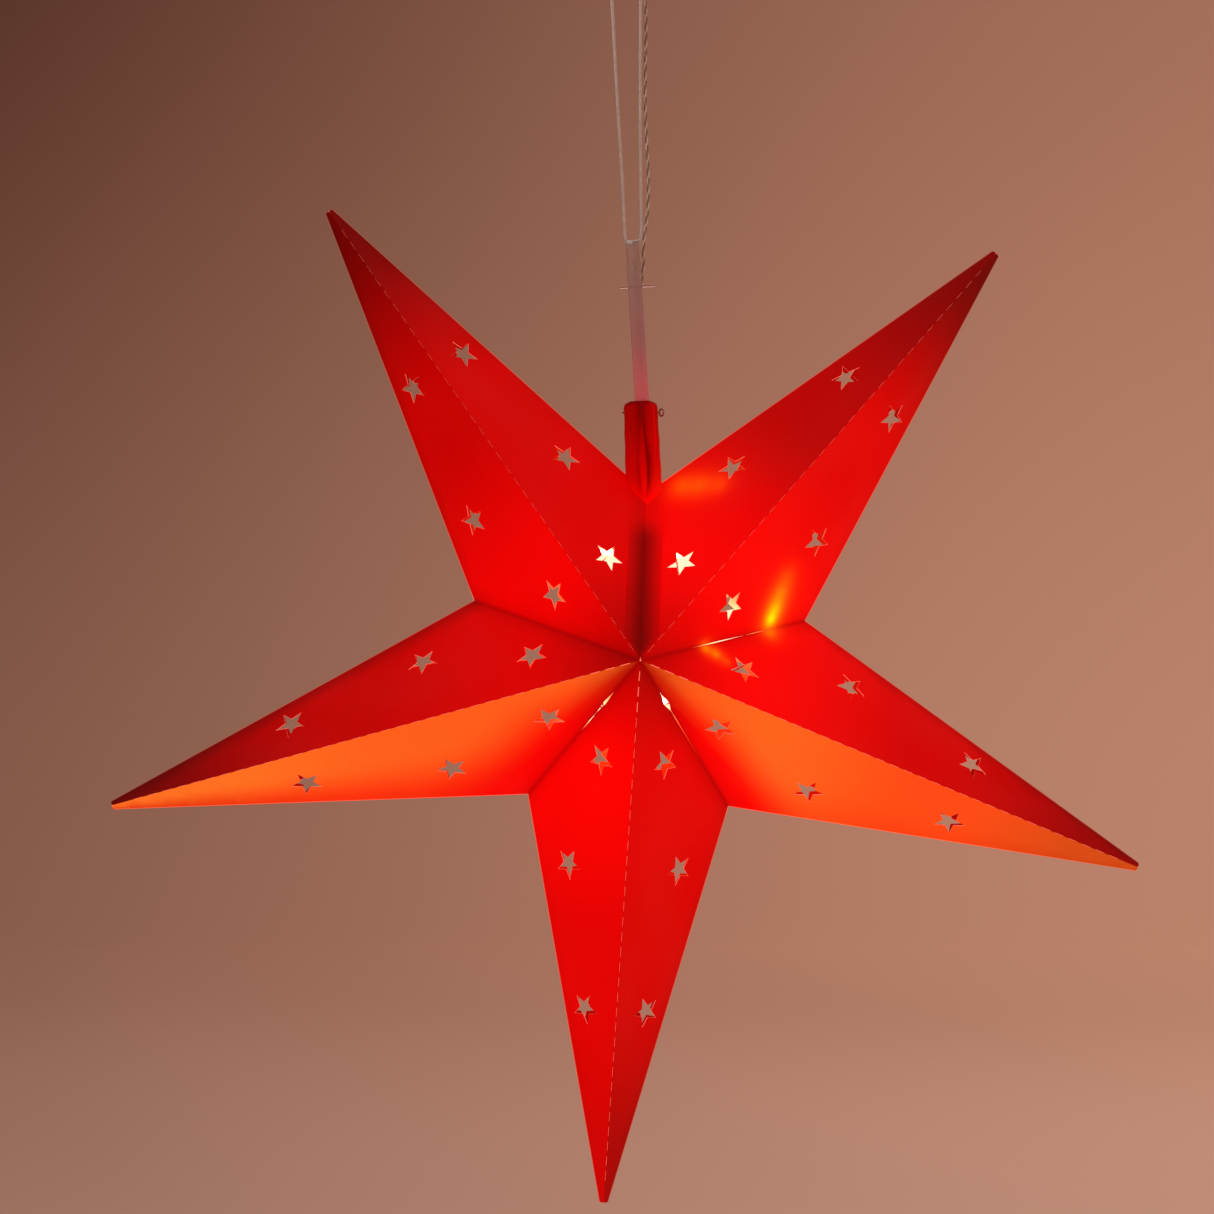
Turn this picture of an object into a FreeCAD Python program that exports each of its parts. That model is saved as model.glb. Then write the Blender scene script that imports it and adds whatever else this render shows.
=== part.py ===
import FreeCAD, Part
import math
import os

from FreeCAD import Placement, Rotation, Vector

# A five-pointed folded star lantern that hangs from a cord loop, with an LED string inside.
# Millimetres, +Z up, the lantern's front faces -Y. The origin is where the hook holds the cord loop.
# Each point is a double pyramid of four film panels, joined along creases:
# the ridges at the front and back, the valleys between points, and the side edges in the mid-plane.

os.makedirs("parts", exist_ok=True)

# ---- driving dimensions ----
SHEET = 0.5                 # thickness of the translucent film
CUT_TIP_RADIUS = 300.0      # centre to the blunt tip of a point
SHARP_TIP_RADIUS = 310.0    # centre to where the side edges of a point would meet
VALLEY_RADIUS = 95.6        # centre to the inner corner between two points
HALF_DEPTH = 75.0           # mid-plane to the front or back apex
UNIT_ANGLE = 71.0           # width of one double pyramid about the star's axis
POINTS = 5
HANG_TILT = 3.5             # the star hangs turned a little clockwise
CREASE_GAP = 0.06           # half the gap between two panels along a crease
BACK_RIDGE_GAP = 0.9        # half the slot along the back ridges, which folding needs
APEX_HOLE = 3.0             # radius left open where the panels' corners meet at an apex

STAR_HOLE = 9.0             # outer radius of a punched star
STAR_HOLE_INNER = 0.42      # its inner radius, as a share of the outer one
STAR_HOLES = [(57.9, 17.7), (117.9, 15.0), (193.5, 5.0)]   # (distance from the axis, degrees from the ridge)

CUT_REACH = 5.0             # how far a cutter stands out on each side of the film

HEM_WIDTH = 9.2             # doubled film along the two edges where the star closes
HEM_INNER_END = 6.0         # how near it comes to the apex
HEM_RIDGE_SIDE = 1.2        # how near it comes to the ridge
HEM_GAP = 0.15              # half the slit between two facing hems
HEM_SIDE_GAP = 3.2          # how far the hems stop from the mid-plane, where the lead goes in

NECK_LENGTH = 57.5
NECK_HALF_WIDTH_BOTTOM = 10.4
NECK_HALF_WIDTH_TOP = 9.2
NECK_HALF_DEPTH = 6.0
NECK_WALL = 0.8
NECK_CORNER = 4.0
NECK_LEAN = 2.3             # degrees to the left, going up
NECK_SEAM = 0.2             # half the gap between the two leaves
SHOULDER_CLEARANCE = 0.75   # the leaves stand this far off the panels, past the hems
EYELET_RADIUS = 1.6         # the small hole punched in the left leaf's front

STRAP_WIDTH = 7.7
STRAP_EYE_WIDTH = 5.2
STRAP_THICKNESS = 0.9
STRAP_EYE_RADIUS = 4.0      # inside
STRAP_LEG_GAP = 1.1         # half the gap between the two legs
STRAP_SLACK = 0.5           # how far the lower fold hangs below the closure pin's middle
STRAP_SHOULDER_TOP = 5.5    # below the eye, where the narrow part starts to widen
STRAP_SHOULDER_END = 9.5    # and where it has its full width
STRAP_REACH = 10.4          # how far below the eye the two legs come together
STRAP_LEAN = 3.5
STRAP_PIN_HOLE_RADIUS = 1.0
TRIM_REACH = 9.0            # blocks that trim the strap are this large, which is past its edges

CORD_DIAMETER = 2.0
LEAD_DIAMETER = 1.6
WIRE_DIAMETER = 1.2
CLOSURE_PIN_DIAMETER = 1.2
PIN_PLAY = 0.4              # between the closure pin and its bore, all round
PIN_LEFT_END = -7.9
PIN_RIGHT_END = 12.6
RING_RADIUS = 2.0
RING_WIRE_RADIUS = 0.45
RING_TURN = 58.0            # degrees that the ring is turned out of the star's plane
STRAP_PIN_DIAMETER = 1.5
STRAP_PIN_LENGTH = 19.2
STRAP_PIN_START = -8.3      # its left end, from the strap's middle
BULB_DIAMETER = 4.0
BULB_LENGTH = 7.0
BULB_LIFT = 4.2             # from the route up to the middle of a bulb

BOX = Vector(27.0, 16.0, 60.0)
BOX_WALL = 1.5
CELL_DIAMETER = 10.4
CELL_LENGTH = 44.0

# ---- places, measured from the middle of the star ----
HOOK = Vector(-7.8, 0.0, 452.25)        # inside of the cord loop's top bend
EYE = Vector(-2.2, 0.0, 226.7)          # centre of the strap's eye
NECK_FOOT = Vector(4.4, 0.0, 85.1)
STRAP_PIN_DROP = 21.0                   # cross pin below the eye, along the strap
CLOSURE_PIN = Vector(3.5, 0.0, 136.3)
EYELET_HOLE = Vector(-3.6, 0.0, 127.5)
BOX_CORNER = Vector(-20.5, 2.5, 384.0)  # lowest left front corner of the battery box

# ---- routes of the cords, chosen by hand ----
CORD_ROUTE = [
    (-17.1, 0.0, 428.1), (-16.0, 0.0, 400.0), (-13.4, 0.0, 356.0), (-10.8, 0.0, 308.0),
    (-8.0, 0.0, 266.0), (-7.1, 0.0, 244.0), (-6.7, 0.0, 234.0), (-5.7, 0.0, 229.4),
    (-2.2, 0.0, 227.9), (1.3, 0.0, 229.4), (2.3, 0.0, 234.0), (2.5, 0.0, 244.0),
    (2.1, 0.0, 266.0), (1.8, 0.0, 308.0), (2.0, 0.0, 356.0), (2.3, 0.0, 400.0),
    (2.4, 0.0, 430.0), (1.6, 0.0, 446.0), (-2.6, 0.0, 453.1), (-7.8, 0.0, 453.35),
    (-13.2, 0.0, 452.8), (-17.4, 0.0, 446.0), (-17.6, 0.0, 440.0), (-17.3, 0.0, 433.9),
]
KNOT = Vector(-17.2, 0.0, 431.0)
KNOT_RADIUS = 2.3
KNOT_HALF_HEIGHT = 2.9
LEAD_UPPER_ROUTE = [
    (4.0, 9.0, 382.0), (4.6, 8.0, 372.0), (5.6, 4.4, 354.0), (4.7, 1.8, 326.0),
    (4.9, 1.0, 296.0), (6.6, 0.4, 268.0), (6.2, 0.1, 248.0), (4.7, 0.0, 237.0), (3.7, 0.0, 227.6),
]
LEAD_LOWER_ROUTE = [
    (3.6, 0.1, 225.8), (3.9, 1.4, 217.5), (2.6, 3.8, 207.5), (1.0, 4.0, 193.0),
    (2.0, 3.8, 170.0), (3.8, 3.4, 150.0), (3.2, 2.9, 134.0), (3.1, 1.0, 126.0), (3.1, 0.4, 120.0),
]
HEAT_SHRINK_TOP = Vector(3.1, 0.0, 120.0)
HEAT_SHRINK_LENGTH = 22.0
HEAT_SHRINK_RADIUS = 2.8
HEAT_SHRINK_ROUND = 1.0
STRING_ROUTE = [
    (3.1, 0.0, 98.0), (2.5, -3.0, 84.0), (-17.6, -24.0, 54.8), (-40.0, -18.0, 30.0),
    (-46.0, 0.0, -2.0), (-26.0, -18.0, -28.0), (12.0, -34.0, -27.0), (42.0, -20.0, -12.0),
    (72.0, -8.0, 4.0), (70.0, -10.0, 28.0), (46.0, -3.0, 66.0), (34.0, 0.0, 88.0),
    (24.0, -6.0, 86.0), (20.0, -14.0, 72.0), (21.2, -24.0, 53.3), (26.0, -8.0, 20.0),
    (18.0, 16.0, 4.0), (-6.0, 24.0, 24.0), (-26.0, 14.0, 0.0), (-14.0, 10.0, -40.0),
    (0.0, 4.0, -84.0), (10.0, -8.0, -60.0),
]
# the LEDs sit a little above these points of the string's route
BULB_POINTS = [2, 4, 5, 6, 9, 11, 14, 17, 19, 20]


def unit_directions():
    """Degrees from +X towards +Z of points 2, 3, 4, 5 and 1, going clockwise from the closure."""
    closure = 90.0 - HANG_TILT
    first = closure - (360.0 - POINTS * UNIT_ANGLE) / 2 - UNIT_ANGLE / 2
    return [(2 + i if i < POINTS - 1 else 1, first - UNIT_ANGLE * i) for i in range(POINTS)]


def in_plane(radius, degrees, depth=0.0):
    a = math.radians(degrees)
    return Vector(radius * math.cos(a), depth, radius * math.sin(a))


def export(name, *solids):
    """Write the solids, made about the middle of the star, in the frame of the hook."""
    shape = solids[0] if len(solids) == 1 else Part.makeCompound(list(solids))
    shape = shape.copy()
    shape.translate(HOOK * -1)
    shape.exportStep("parts/" + name + ".step")
    print(name, round(shape.Volume, 2), shape.isValid())


def prism(points, direction):
    """The closed outline through the points, extruded along the direction."""
    face = Part.Face(Part.makePolygon(points + [points[0]]))
    return face.extrude(direction)


ARC_SHARE = 0.45            # share of a straight run that the arc at each of its ends may take up


def tube(route, diameter, name):
    """A round tube along straight runs joined by arcs as large as the runs allow."""
    points = [Vector(*p) for p in route]
    edges, at, radii = [], points[0], []
    for before, corner, after in zip(points, points[1:], points[2:]):
        back = (before - corner).normalize()
        ahead = (after - corner).normalize()
        half_turn = (math.pi - back.getAngle(ahead)) / 2
        trim = ARC_SHARE * min((before - corner).Length, (after - corner).Length)
        radius = trim / math.tan(half_turn)
        start = corner + back * trim
        end = corner + ahead * trim
        centre = corner + (back + ahead).normalize() * (radius / math.cos(half_turn))
        middle = centre + (corner - centre).normalize() * radius
        edges.append(Part.LineSegment(at, start).toShape())
        edges.append(Part.Arc(start, middle, end).toShape())
        at = end
        radii.append(radius)
    edges.append(Part.LineSegment(at, points[-1]).toShape())
    wire = Part.Wire(edges)
    length = wire.Length
    circle = Part.Wire(Part.makeCircle(diameter / 2, points[0], points[1] - points[0]))
    solid = wire.makePipeShell([circle], True, False)
    share = solid.Volume / (length * math.pi * diameter ** 2 / 4)
    print(name, "length", round(length, 1), "least radius", round(min(radii), 1), "volume", round(share, 4))
    return solid


BEYOND = 900.0              # larger than the whole star


def half_space(point, normal):
    """A large block that fills the side of the plane that the normal points to."""
    half = Part.makeBox(BEYOND, BEYOND, BEYOND, Vector(-BEYOND / 2, -BEYOND / 2, 0))
    half.Placement = Placement(point, Rotation(Vector(0, 0, 1), normal))
    return half


# ---- the film panels ----

def corners(ridge, side, face):
    """Apex, tip and valley corner of a panel. side is 1 (anticlockwise) or -1, face is -1 (front) or 1."""
    apex = Vector(0, face * HALF_DEPTH, 0)
    tip = in_plane(SHARP_TIP_RADIUS, ridge)
    valley = in_plane(VALLEY_RADIUS, ridge + side * UNIT_ANGLE / 2)
    return apex, tip, valley


def outer_normal(ridge, side, face):
    apex, tip, valley = corners(ridge, side, face)
    normal = (tip - apex).cross(valley - apex).normalize()
    return normal if normal.y * face > 0 else normal * -1


def slab(ridge, side, face, outline, lift, side_gap):
    """A sheet in a panel's own plane, whose outline is given as (along the ridge, away from the ridge)."""
    apex = Vector(0, face * HALF_DEPTH, 0)
    normal = outer_normal(ridge, side, face)
    along = in_plane(1, ridge)
    across = in_plane(1, ridge + side * 90)
    column = prism([along * u + across * w for u, w in outline], Vector(0, face * BEYOND, 0))
    column.translate(Vector(0, face * side_gap, 0))
    below = half_space(apex + normal * (lift + SHEET), normal * -1)
    above = half_space(apex + normal * lift, normal)
    return column.common(below).common(above)


def star_cutter(centre, normal, arm, radius):
    """A five-armed prism through the sheet, with one arm along the given direction."""
    across = normal.cross(arm).normalize()
    points = []
    for i in range(2 * POINTS):
        a = math.pi * i / POINTS
        r = radius if i % 2 == 0 else radius * STAR_HOLE_INNER
        points.append(centre + (arm * math.cos(a) + across * math.sin(a)) * r - normal * CUT_REACH)
    return prism(points, normal * 2 * CUT_REACH)


def panel(ridge, side, face, holes):
    """One film panel with its punched stars, mitred at the ridge, the valley and the side edge."""
    slope = math.tan(math.radians(UNIT_ANGLE / 2))
    shift = CREASE_GAP / math.cos(math.radians(UNIT_ANGLE / 2))
    ridge_gap = CREASE_GAP if face < 0 else BACK_RIDGE_GAP
    outline = [
        (APEX_HOLE, ridge_gap),
        (CUT_TIP_RADIUS, ridge_gap),
        (CUT_TIP_RADIUS, CUT_TIP_RADIUS * slope),
        (APEX_HOLE, APEX_HOLE * slope - shift),
    ]
    sheet = slab(ridge, side, face, outline, -SHEET, CREASE_GAP)
    apex, tip, _ = corners(ridge, side, face)
    normal = outer_normal(ridge, side, face)
    for radius, angle in holes:
        centre = in_plane(radius, ridge + side * angle)
        centre.y = apex.y - (centre.x * normal.x + centre.z * normal.z) / normal.y
        sheet = sheet.cut(star_cutter(centre, normal, (tip - centre).normalize(), STAR_HOLE))
    return sheet


def closure_hem(ridge, side, face):
    """The doubled strip on the outside of a panel, which reaches to the plane where the star closes."""
    closing = math.radians((UNIT_ANGLE + 360.0 - POINTS * UNIT_ANGLE) / 2)
    slope = math.tan(closing)
    edge = HEM_GAP / math.cos(closing)
    fold = HEM_WIDTH / math.cos(closing)
    outline = [
        (HEM_INNER_END, HEM_RIDGE_SIDE),
        ((HEM_RIDGE_SIDE + fold) / slope, HEM_RIDGE_SIDE),
        (VALLEY_RADIUS, VALLEY_RADIUS * slope - fold),
        (VALLEY_RADIUS, VALLEY_RADIUS * slope - edge),
        (HEM_INNER_END, HEM_INNER_END * slope - edge),
    ]
    return slab(ridge, side, face, outline, 0.0, HEM_SIDE_GAP)


SIDES = [("left", 1), ("right", -1)]
FACES = [("front", -1), ("back", 1)]
DIRECTIONS = dict(unit_directions())
# the star closes between point 1's right panels and point 2's left panels
CLOSURE = [(1, -1), (2, 1)]


def holes_of(number, side, face):
    """A panel's punched stars. On the back, the two nearest the closure are left out, so the film there
    stands lit behind the front's holes."""
    beside_closure = face > 0 and (number, side) in CLOSURE
    return STAR_HOLES[1:] if beside_closure else STAR_HOLES


for number, ridge in unit_directions():
    for face_name, face in FACES:
        for side_name, side in SIDES:
            sheet = panel(ridge, side, face, holes_of(number, side, face))
            export("point_%d_%s_%s" % (number, face_name, side_name), sheet)

for number, side in CLOSURE:
    for face_name, face in FACES:
        export("closure_hem_%d_%s" % (number, face_name), closure_hem(DIRECTIONS[number], side, face))


# ---- the neck: two channel-shaped leaves round the strap and the lead ----

def neck_block():
    """The neck as one solid block with rounded top corners, seen from the front."""
    low = NECK_HALF_WIDTH_BOTTOM
    top = NECK_HALF_WIDTH_TOP
    r = NECK_CORNER
    k = r * (1 - math.sqrt(0.5))
    y = -NECK_HALF_DEPTH
    z = NECK_LENGTH
    edges = [
        Part.LineSegment(Vector(-low, y, 0), Vector(low, y, 0)),
        Part.LineSegment(Vector(low, y, 0), Vector(top, y, z - r)),
        Part.Arc(Vector(top, y, z - r), Vector(top - k, y, z - k), Vector(top - r, y, z)),
        Part.LineSegment(Vector(top - r, y, z), Vector(r - top, y, z)),
        Part.Arc(Vector(r - top, y, z), Vector(k - top, y, z - k), Vector(-top, y, z - r)),
        Part.LineSegment(Vector(-top, y, z - r), Vector(-low, y, 0)),
    ]
    return Part.Face(Part.Wire([e.toShape() for e in edges])).extrude(Vector(0, 2 * NECK_HALF_DEPTH, 0))


def neck_hollow():
    """The space inside the neck, which runs out past its foot and its top."""
    low = NECK_HALF_WIDTH_BOTTOM - NECK_WALL
    top = NECK_HALF_WIDTH_TOP - NECK_WALL
    y = NECK_WALL - NECK_HALF_DEPTH
    outline = [Vector(-low, y, -CUT_REACH), Vector(low, y, -CUT_REACH), Vector(low, y, 0),
               Vector(top, y, NECK_LENGTH), Vector(top, y, NECK_LENGTH + CUT_REACH),
               Vector(-top, y, NECK_LENGTH + CUT_REACH), Vector(-top, y, NECK_LENGTH), Vector(-low, y, 0)]
    return prism(outline, Vector(0, -2 * y, 0))


def neck_leaf(side):
    """The left (-1) or right (1) leaf, trimmed to stand on the panels beside the closure."""
    shell = neck_block().cut(neck_hollow())
    shell = shell.common(half_space(Vector(side * NECK_SEAM, 0, 0), Vector(side, 0, 0)))
    shell.Placement = Placement(NECK_FOOT, Rotation(Vector(0, 1, 0), -NECK_LEAN))
    for number, panel_side in CLOSURE:
        for face_name, face in FACES:
            normal = outer_normal(DIRECTIONS[number], panel_side, face)
            apex = Vector(0, face * HALF_DEPTH, 0)
            shell = shell.common(half_space(apex + normal * SHOULDER_CLEARANCE, normal))
    far_left = CLOSURE_PIN - Vector(BEYOND / 2, 0, 0)
    bore = Part.makeCylinder(CLOSURE_PIN_DIAMETER / 2 + PIN_PLAY, BEYOND, far_left, Vector(1, 0, 0))
    return shell.cut(bore)


before_eyelet = EYELET_HOLE - Vector(0, NECK_HALF_DEPTH + NECK_WALL, 0)
eyelet_bore = Part.makeCylinder(EYELET_RADIUS, 3 * NECK_WALL, before_eyelet, Vector(0, 1, 0))
export("neck_left_leaf", neck_leaf(-1).cut(eyelet_bore))
export("neck_right_leaf", neck_leaf(1))


# ---- closure pin, whose right end goes into a small ring that is turned out of the star's plane ----
pin = Part.makeCylinder(CLOSURE_PIN_DIAMETER / 2, PIN_RIGHT_END - PIN_LEFT_END,
                        Vector(PIN_LEFT_END, 0, CLOSURE_PIN.z), Vector(1, 0, 0))
turn = math.radians(RING_TURN)
pin_end = Vector(PIN_RIGHT_END, 0, CLOSURE_PIN.z)
ring_middle = pin_end + Vector(math.cos(turn), -math.sin(turn), 0) * RING_RADIUS
ring = Part.makeTorus(RING_RADIUS, RING_WIRE_RADIUS, ring_middle, Vector(math.sin(turn), math.cos(turn), 0))
export("closure_pin", pin.fuse(ring))


# ---- strap: one band folded round the cord above and round the closure pin below ----

def strap_profile(grow):
    """The band's outline seen from the side, grown outwards from its inner surface."""
    drop = (EYE.z - CLOSURE_PIN.z) / math.cos(math.radians(STRAP_LEAN)) + STRAP_SLACK
    r = STRAP_EYE_RADIUS + grow
    leg = STRAP_LEG_GAP + grow
    edges = [
        Part.Arc(Vector(0, r, 0), Vector(0, 0, r), Vector(0, -r, 0)),
        Part.LineSegment(Vector(0, -r, 0), Vector(0, -leg, -STRAP_REACH)),
        Part.LineSegment(Vector(0, -leg, -STRAP_REACH), Vector(0, -leg, -drop)),
        Part.Arc(Vector(0, -leg, -drop), Vector(0, 0, -drop - leg), Vector(0, leg, -drop)),
        Part.LineSegment(Vector(0, leg, -drop), Vector(0, leg, -STRAP_REACH)),
        Part.LineSegment(Vector(0, leg, -STRAP_REACH), Vector(0, r, 0)),
    ]
    return Part.Face(Part.Wire([e.toShape() for e in edges]))


def hanging_strap():
    outer = strap_profile(STRAP_THICKNESS)
    inner = strap_profile(0.0)
    band = outer.extrude(Vector(STRAP_WIDTH, 0, 0)).cut(inner.extrude(Vector(STRAP_WIDTH, 0, 0)))
    band.translate(Vector(-STRAP_WIDTH / 2, 0, 0))
    # the eye is narrower than the legs: trim both edges above the shoulder
    for side in (-1, 1):
        narrow = side * STRAP_EYE_WIDTH / 2
        trim = prism([Vector(narrow, -TRIM_REACH, TRIM_REACH),
                      Vector(side * TRIM_REACH, -TRIM_REACH, TRIM_REACH),
                      Vector(side * TRIM_REACH, -TRIM_REACH, -STRAP_SHOULDER_END),
                      Vector(side * STRAP_WIDTH / 2, -TRIM_REACH, -STRAP_SHOULDER_END),
                      Vector(narrow, -TRIM_REACH, -STRAP_SHOULDER_TOP)], Vector(0, 2 * TRIM_REACH, 0))
        band = band.cut(trim)
    hole = Part.makeCylinder(STRAP_PIN_HOLE_RADIUS, 2 * STRAP_WIDTH, Vector(-STRAP_WIDTH, 0, -STRAP_PIN_DROP),
                             Vector(1, 0, 0))
    band = band.cut(hole)
    band.Placement = STRAP_PLACE
    return band


STRAP_PLACE = Placement(EYE, Rotation(Vector(0, 1, 0), -STRAP_LEAN))
export("hanging_strap", hanging_strap())
strap_pin = Part.makeCylinder(STRAP_PIN_DIAMETER / 2, STRAP_PIN_LENGTH,
                              Vector(STRAP_PIN_START, 0, -STRAP_PIN_DROP), Vector(1, 0, 0))
strap_pin.Placement = STRAP_PLACE
export("strap_pin", strap_pin)


# ---- hanging cord and its knot ----
export("hanging_cord", tube(CORD_ROUTE, CORD_DIAMETER, "cord"))
knot = Part.makeSphere(KNOT_RADIUS)
stretch = FreeCAD.Matrix()
stretch.scale(1, 1, KNOT_HALF_HEIGHT / KNOT_RADIUS)
knot = knot.transformGeometry(stretch)
knot.translate(KNOT)
export("cord_knot", knot)


# ---- LED string: lead, sleeve, inner wire and bulbs ----
export("lead_upper", tube(LEAD_UPPER_ROUTE, LEAD_DIAMETER, "lead upper"))
export("lead_lower", tube(LEAD_LOWER_ROUTE, LEAD_DIAMETER, "lead lower"))
sleeve = Part.makeCylinder(HEAT_SHRINK_RADIUS, HEAT_SHRINK_LENGTH,
                           HEAT_SHRINK_TOP - Vector(0, 0, HEAT_SHRINK_LENGTH), Vector(0, 0, 1))
sleeve_rims = [e for e in sleeve.Edges if e.Curve.TypeId == "Part::GeomCircle"]
export("lead_sleeve", sleeve.makeFillet(HEAT_SHRINK_ROUND, sleeve_rims))
export("led_wire", tube(STRING_ROUTE, WIRE_DIAMETER, "string"))


def bulb(before, point, after):
    """A small epoxy LED just above the wire, lying along it."""
    along = Vector(after - before)
    along.z = 0
    along.normalize()
    stem = BULB_LENGTH - BULB_DIAMETER / 2
    start = point + Vector(0, 0, BULB_LIFT) - along * (BULB_LENGTH / 2)
    body = Part.makeCylinder(BULB_DIAMETER / 2, stem, start, along)
    dome = Part.makeSphere(BULB_DIAMETER / 2, start + along * stem)
    return body.fuse(dome).removeSplitter()


string_points = [Vector(*p) for p in STRING_ROUTE]
export("led_bulbs", *[bulb(*string_points[i - 1:i + 2]) for i in BULB_POINTS])


# ---- battery box that feeds the LED string, hung from the same hook ----
box_middle = BOX_CORNER + Vector(BOX.x / 2, BOX.y / 2, BOX.z / 2)
box_right = BOX_CORNER.x + BOX.x
box_back = BOX_CORNER.y + BOX.y
box_top = BOX_CORNER.z + BOX.z
BOX_ROUND = 2.0
SWITCH_SLOT = Vector(BOX_WALL + 1, 4.0, 12.0)
SWITCH_TRAVEL = 5.0
SWITCH_WALL_CUT = 0.5       # how far the slot's cutter stands out of the side wall
DOOR_THICKNESS = 1.5
DOOR_RAIL = 1.0             # how deep the door's edges sit in the side walls
DOOR_PLAY = 0.15            # between the door and its grooves, on each side
DOOR_GROOVE = Vector(0, box_back - 2.6, BOX_CORNER.z - 1)   # the grooves' front, and their open lower end
DOOR_RIBS = 4
DOOR_RIB = Vector(12.0, 0.6, 1.0)
DOOR_RIB_PITCH = 2.2
DOOR_RIB_LOWEST = 6.0       # above the box's lower end
LUG = Vector(12.0, 2.5, 11.0)
LUG_ROUND = 4.0
LUG_ROOT = 0.5              # how far it reaches into the box
LUG_HOLE = 3.0
GLAND_TOP_RADIUS = 2.4
GLAND_FOOT_RADIUS = 1.6
GLAND_HEIGHT = 2.5
GLAND_BELOW = 0.5           # how far it stands below the lead's upper end
GLAND_BORE = 6.0


def block(low, size):
    return Part.makeBox(size.x, size.y, size.z, low)


def upright_edges(shape, height):
    return [e for e in shape.Edges if abs(e.BoundBox.ZLength - height) < BOX_WALL]


def mounting_lug():
    """The plate on top of the box, with rounded upper corners and a hole for the hook."""
    low = Vector(HOOK.x - LUG.x / 2, BOX_CORNER.y, box_top - LUG_ROOT)
    plate = block(low, LUG)
    upper = [e for e in plate.Edges if e.BoundBox.XLength + e.BoundBox.ZLength < LUG_ROOT
             and e.CenterOfMass.z > low.z + LUG.z / 2]
    return plate.makeFillet(LUG_ROUND, upper)


def battery_box():
    """Open at the back, with grooves for the sliding door, a switch slot, a lug and a lead gland."""
    shell = block(BOX_CORNER, BOX)
    front_corners = [e for e in upright_edges(shell, BOX.z) if e.CenterOfMass.y < box_middle.y]
    shell = shell.makeFillet(BOX_ROUND, front_corners)
    hollow = block(BOX_CORNER + Vector(BOX_WALL, BOX_WALL, BOX_WALL),
                   Vector(BOX.x - 2 * BOX_WALL, BOX.y, BOX.z - 2 * BOX_WALL))
    groove_width = BOX.x - 2 * (BOX_WALL - DOOR_RAIL)
    groove_height = box_top - BOX_WALL + 2 * DOOR_PLAY - DOOR_GROOVE.z
    groove = block(Vector(BOX_CORNER.x + BOX_WALL - DOOR_RAIL, DOOR_GROOVE.y, DOOR_GROOVE.z),
                   Vector(groove_width, DOOR_THICKNESS + 2 * DOOR_PLAY, groove_height))
    mouth_height = BOX_CORNER.z + BOX_WALL - DOOR_GROOVE.z + 2 * DOOR_PLAY
    mouth = block(Vector(BOX_CORNER.x + BOX_WALL, DOOR_GROOVE.y, DOOR_GROOVE.z),
                  Vector(BOX.x - 2 * BOX_WALL, BOX.y, mouth_height))
    slot = block(Vector(box_right - SWITCH_SLOT.x + SWITCH_WALL_CUT, box_middle.y - SWITCH_SLOT.y / 2,
                        box_middle.z - SWITCH_SLOT.z / 2), SWITCH_SLOT)
    hook_hole = Part.makeCylinder(LUG_HOLE, BOX.y, Vector(HOOK.x, BOX_CORNER.y - LUG.y, HOOK.z - LUG_HOLE),
                                  Vector(0, 1, 0))
    exit_point = Vector(*LEAD_UPPER_ROUTE[0])
    gland = Part.makeCone(GLAND_FOOT_RADIUS, GLAND_TOP_RADIUS, GLAND_HEIGHT,
                          exit_point - Vector(0, 0, GLAND_BELOW), Vector(0, 0, 1))
    bore = Part.makeCylinder(LEAD_DIAMETER / 2, GLAND_BORE, exit_point - Vector(0, 0, 2 * GLAND_BELOW),
                             Vector(0, 0, 1))
    shell = shell.cut(hollow).cut(groove).cut(mouth).cut(slot)
    return shell.fuse([mounting_lug(), gland]).cut(hook_hole).cut(bore).removeSplitter()


def battery_door():
    """The sliding door, with ribs near its lower end for a thumb."""
    low = Vector(BOX_CORNER.x + BOX_WALL - DOOR_RAIL + DOOR_PLAY, DOOR_GROOVE.y + DOOR_PLAY, BOX_CORNER.z)
    width = BOX.x - 2 * (BOX_WALL - DOOR_RAIL + DOOR_PLAY)
    plate = block(low, Vector(width, DOOR_THICKNESS, BOX.z - BOX_WALL))
    ribs = []
    for i in range(DOOR_RIBS):
        height = BOX_CORNER.z + DOOR_RIB_LOWEST + DOOR_RIB_PITCH * i
        ribs.append(block(Vector(box_middle.x - DOOR_RIB.x / 2, low.y + DOOR_THICKNESS, height), DOOR_RIB))
    return plate.fuse(ribs)


SLIDER = Vector(BOX_WALL + 2.1, 3.6, 4.4)
SLIDER_STANDS_OUT = 1.2
FLANGE = Vector(1.2, 5.6, 8.4)      # behind the wall, so the slider stays in its slot
FLANGE_OVERLAP = 0.3


def switch_slider():
    """The switch's button and, inside the wall, its flange. It rests at the lower end of its travel."""
    middle = Vector(0, box_middle.y, box_middle.z - SWITCH_TRAVEL / 2)
    left = box_right + SLIDER_STANDS_OUT - SLIDER.x
    button = block(Vector(left, middle.y - SLIDER.y / 2, middle.z - SLIDER.z / 2), SLIDER)
    flange_left = left + FLANGE_OVERLAP - FLANGE.x
    flange = block(Vector(flange_left, middle.y - FLANGE.y / 2, middle.z - FLANGE.z / 2), FLANGE)
    return button.fuse(flange)


export("battery_box", battery_box())
export("battery_door", battery_door())
export("switch_slider", switch_slider())

CELL_WALL_GAP = 0.4
CELL_PITCH = 10.8
CELL_SHIFT = -0.9           # the pair sits left of the switch
NUB = Vector(1.9, 0, 1.0)   # radius and height of a cell's raised end
cell_y = BOX_CORNER.y + BOX_WALL + CELL_WALL_GAP + CELL_DIAMETER / 2
cell_x = [box_middle.x + CELL_SHIFT + side * CELL_PITCH / 2 for side in (-1, 1)]


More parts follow.
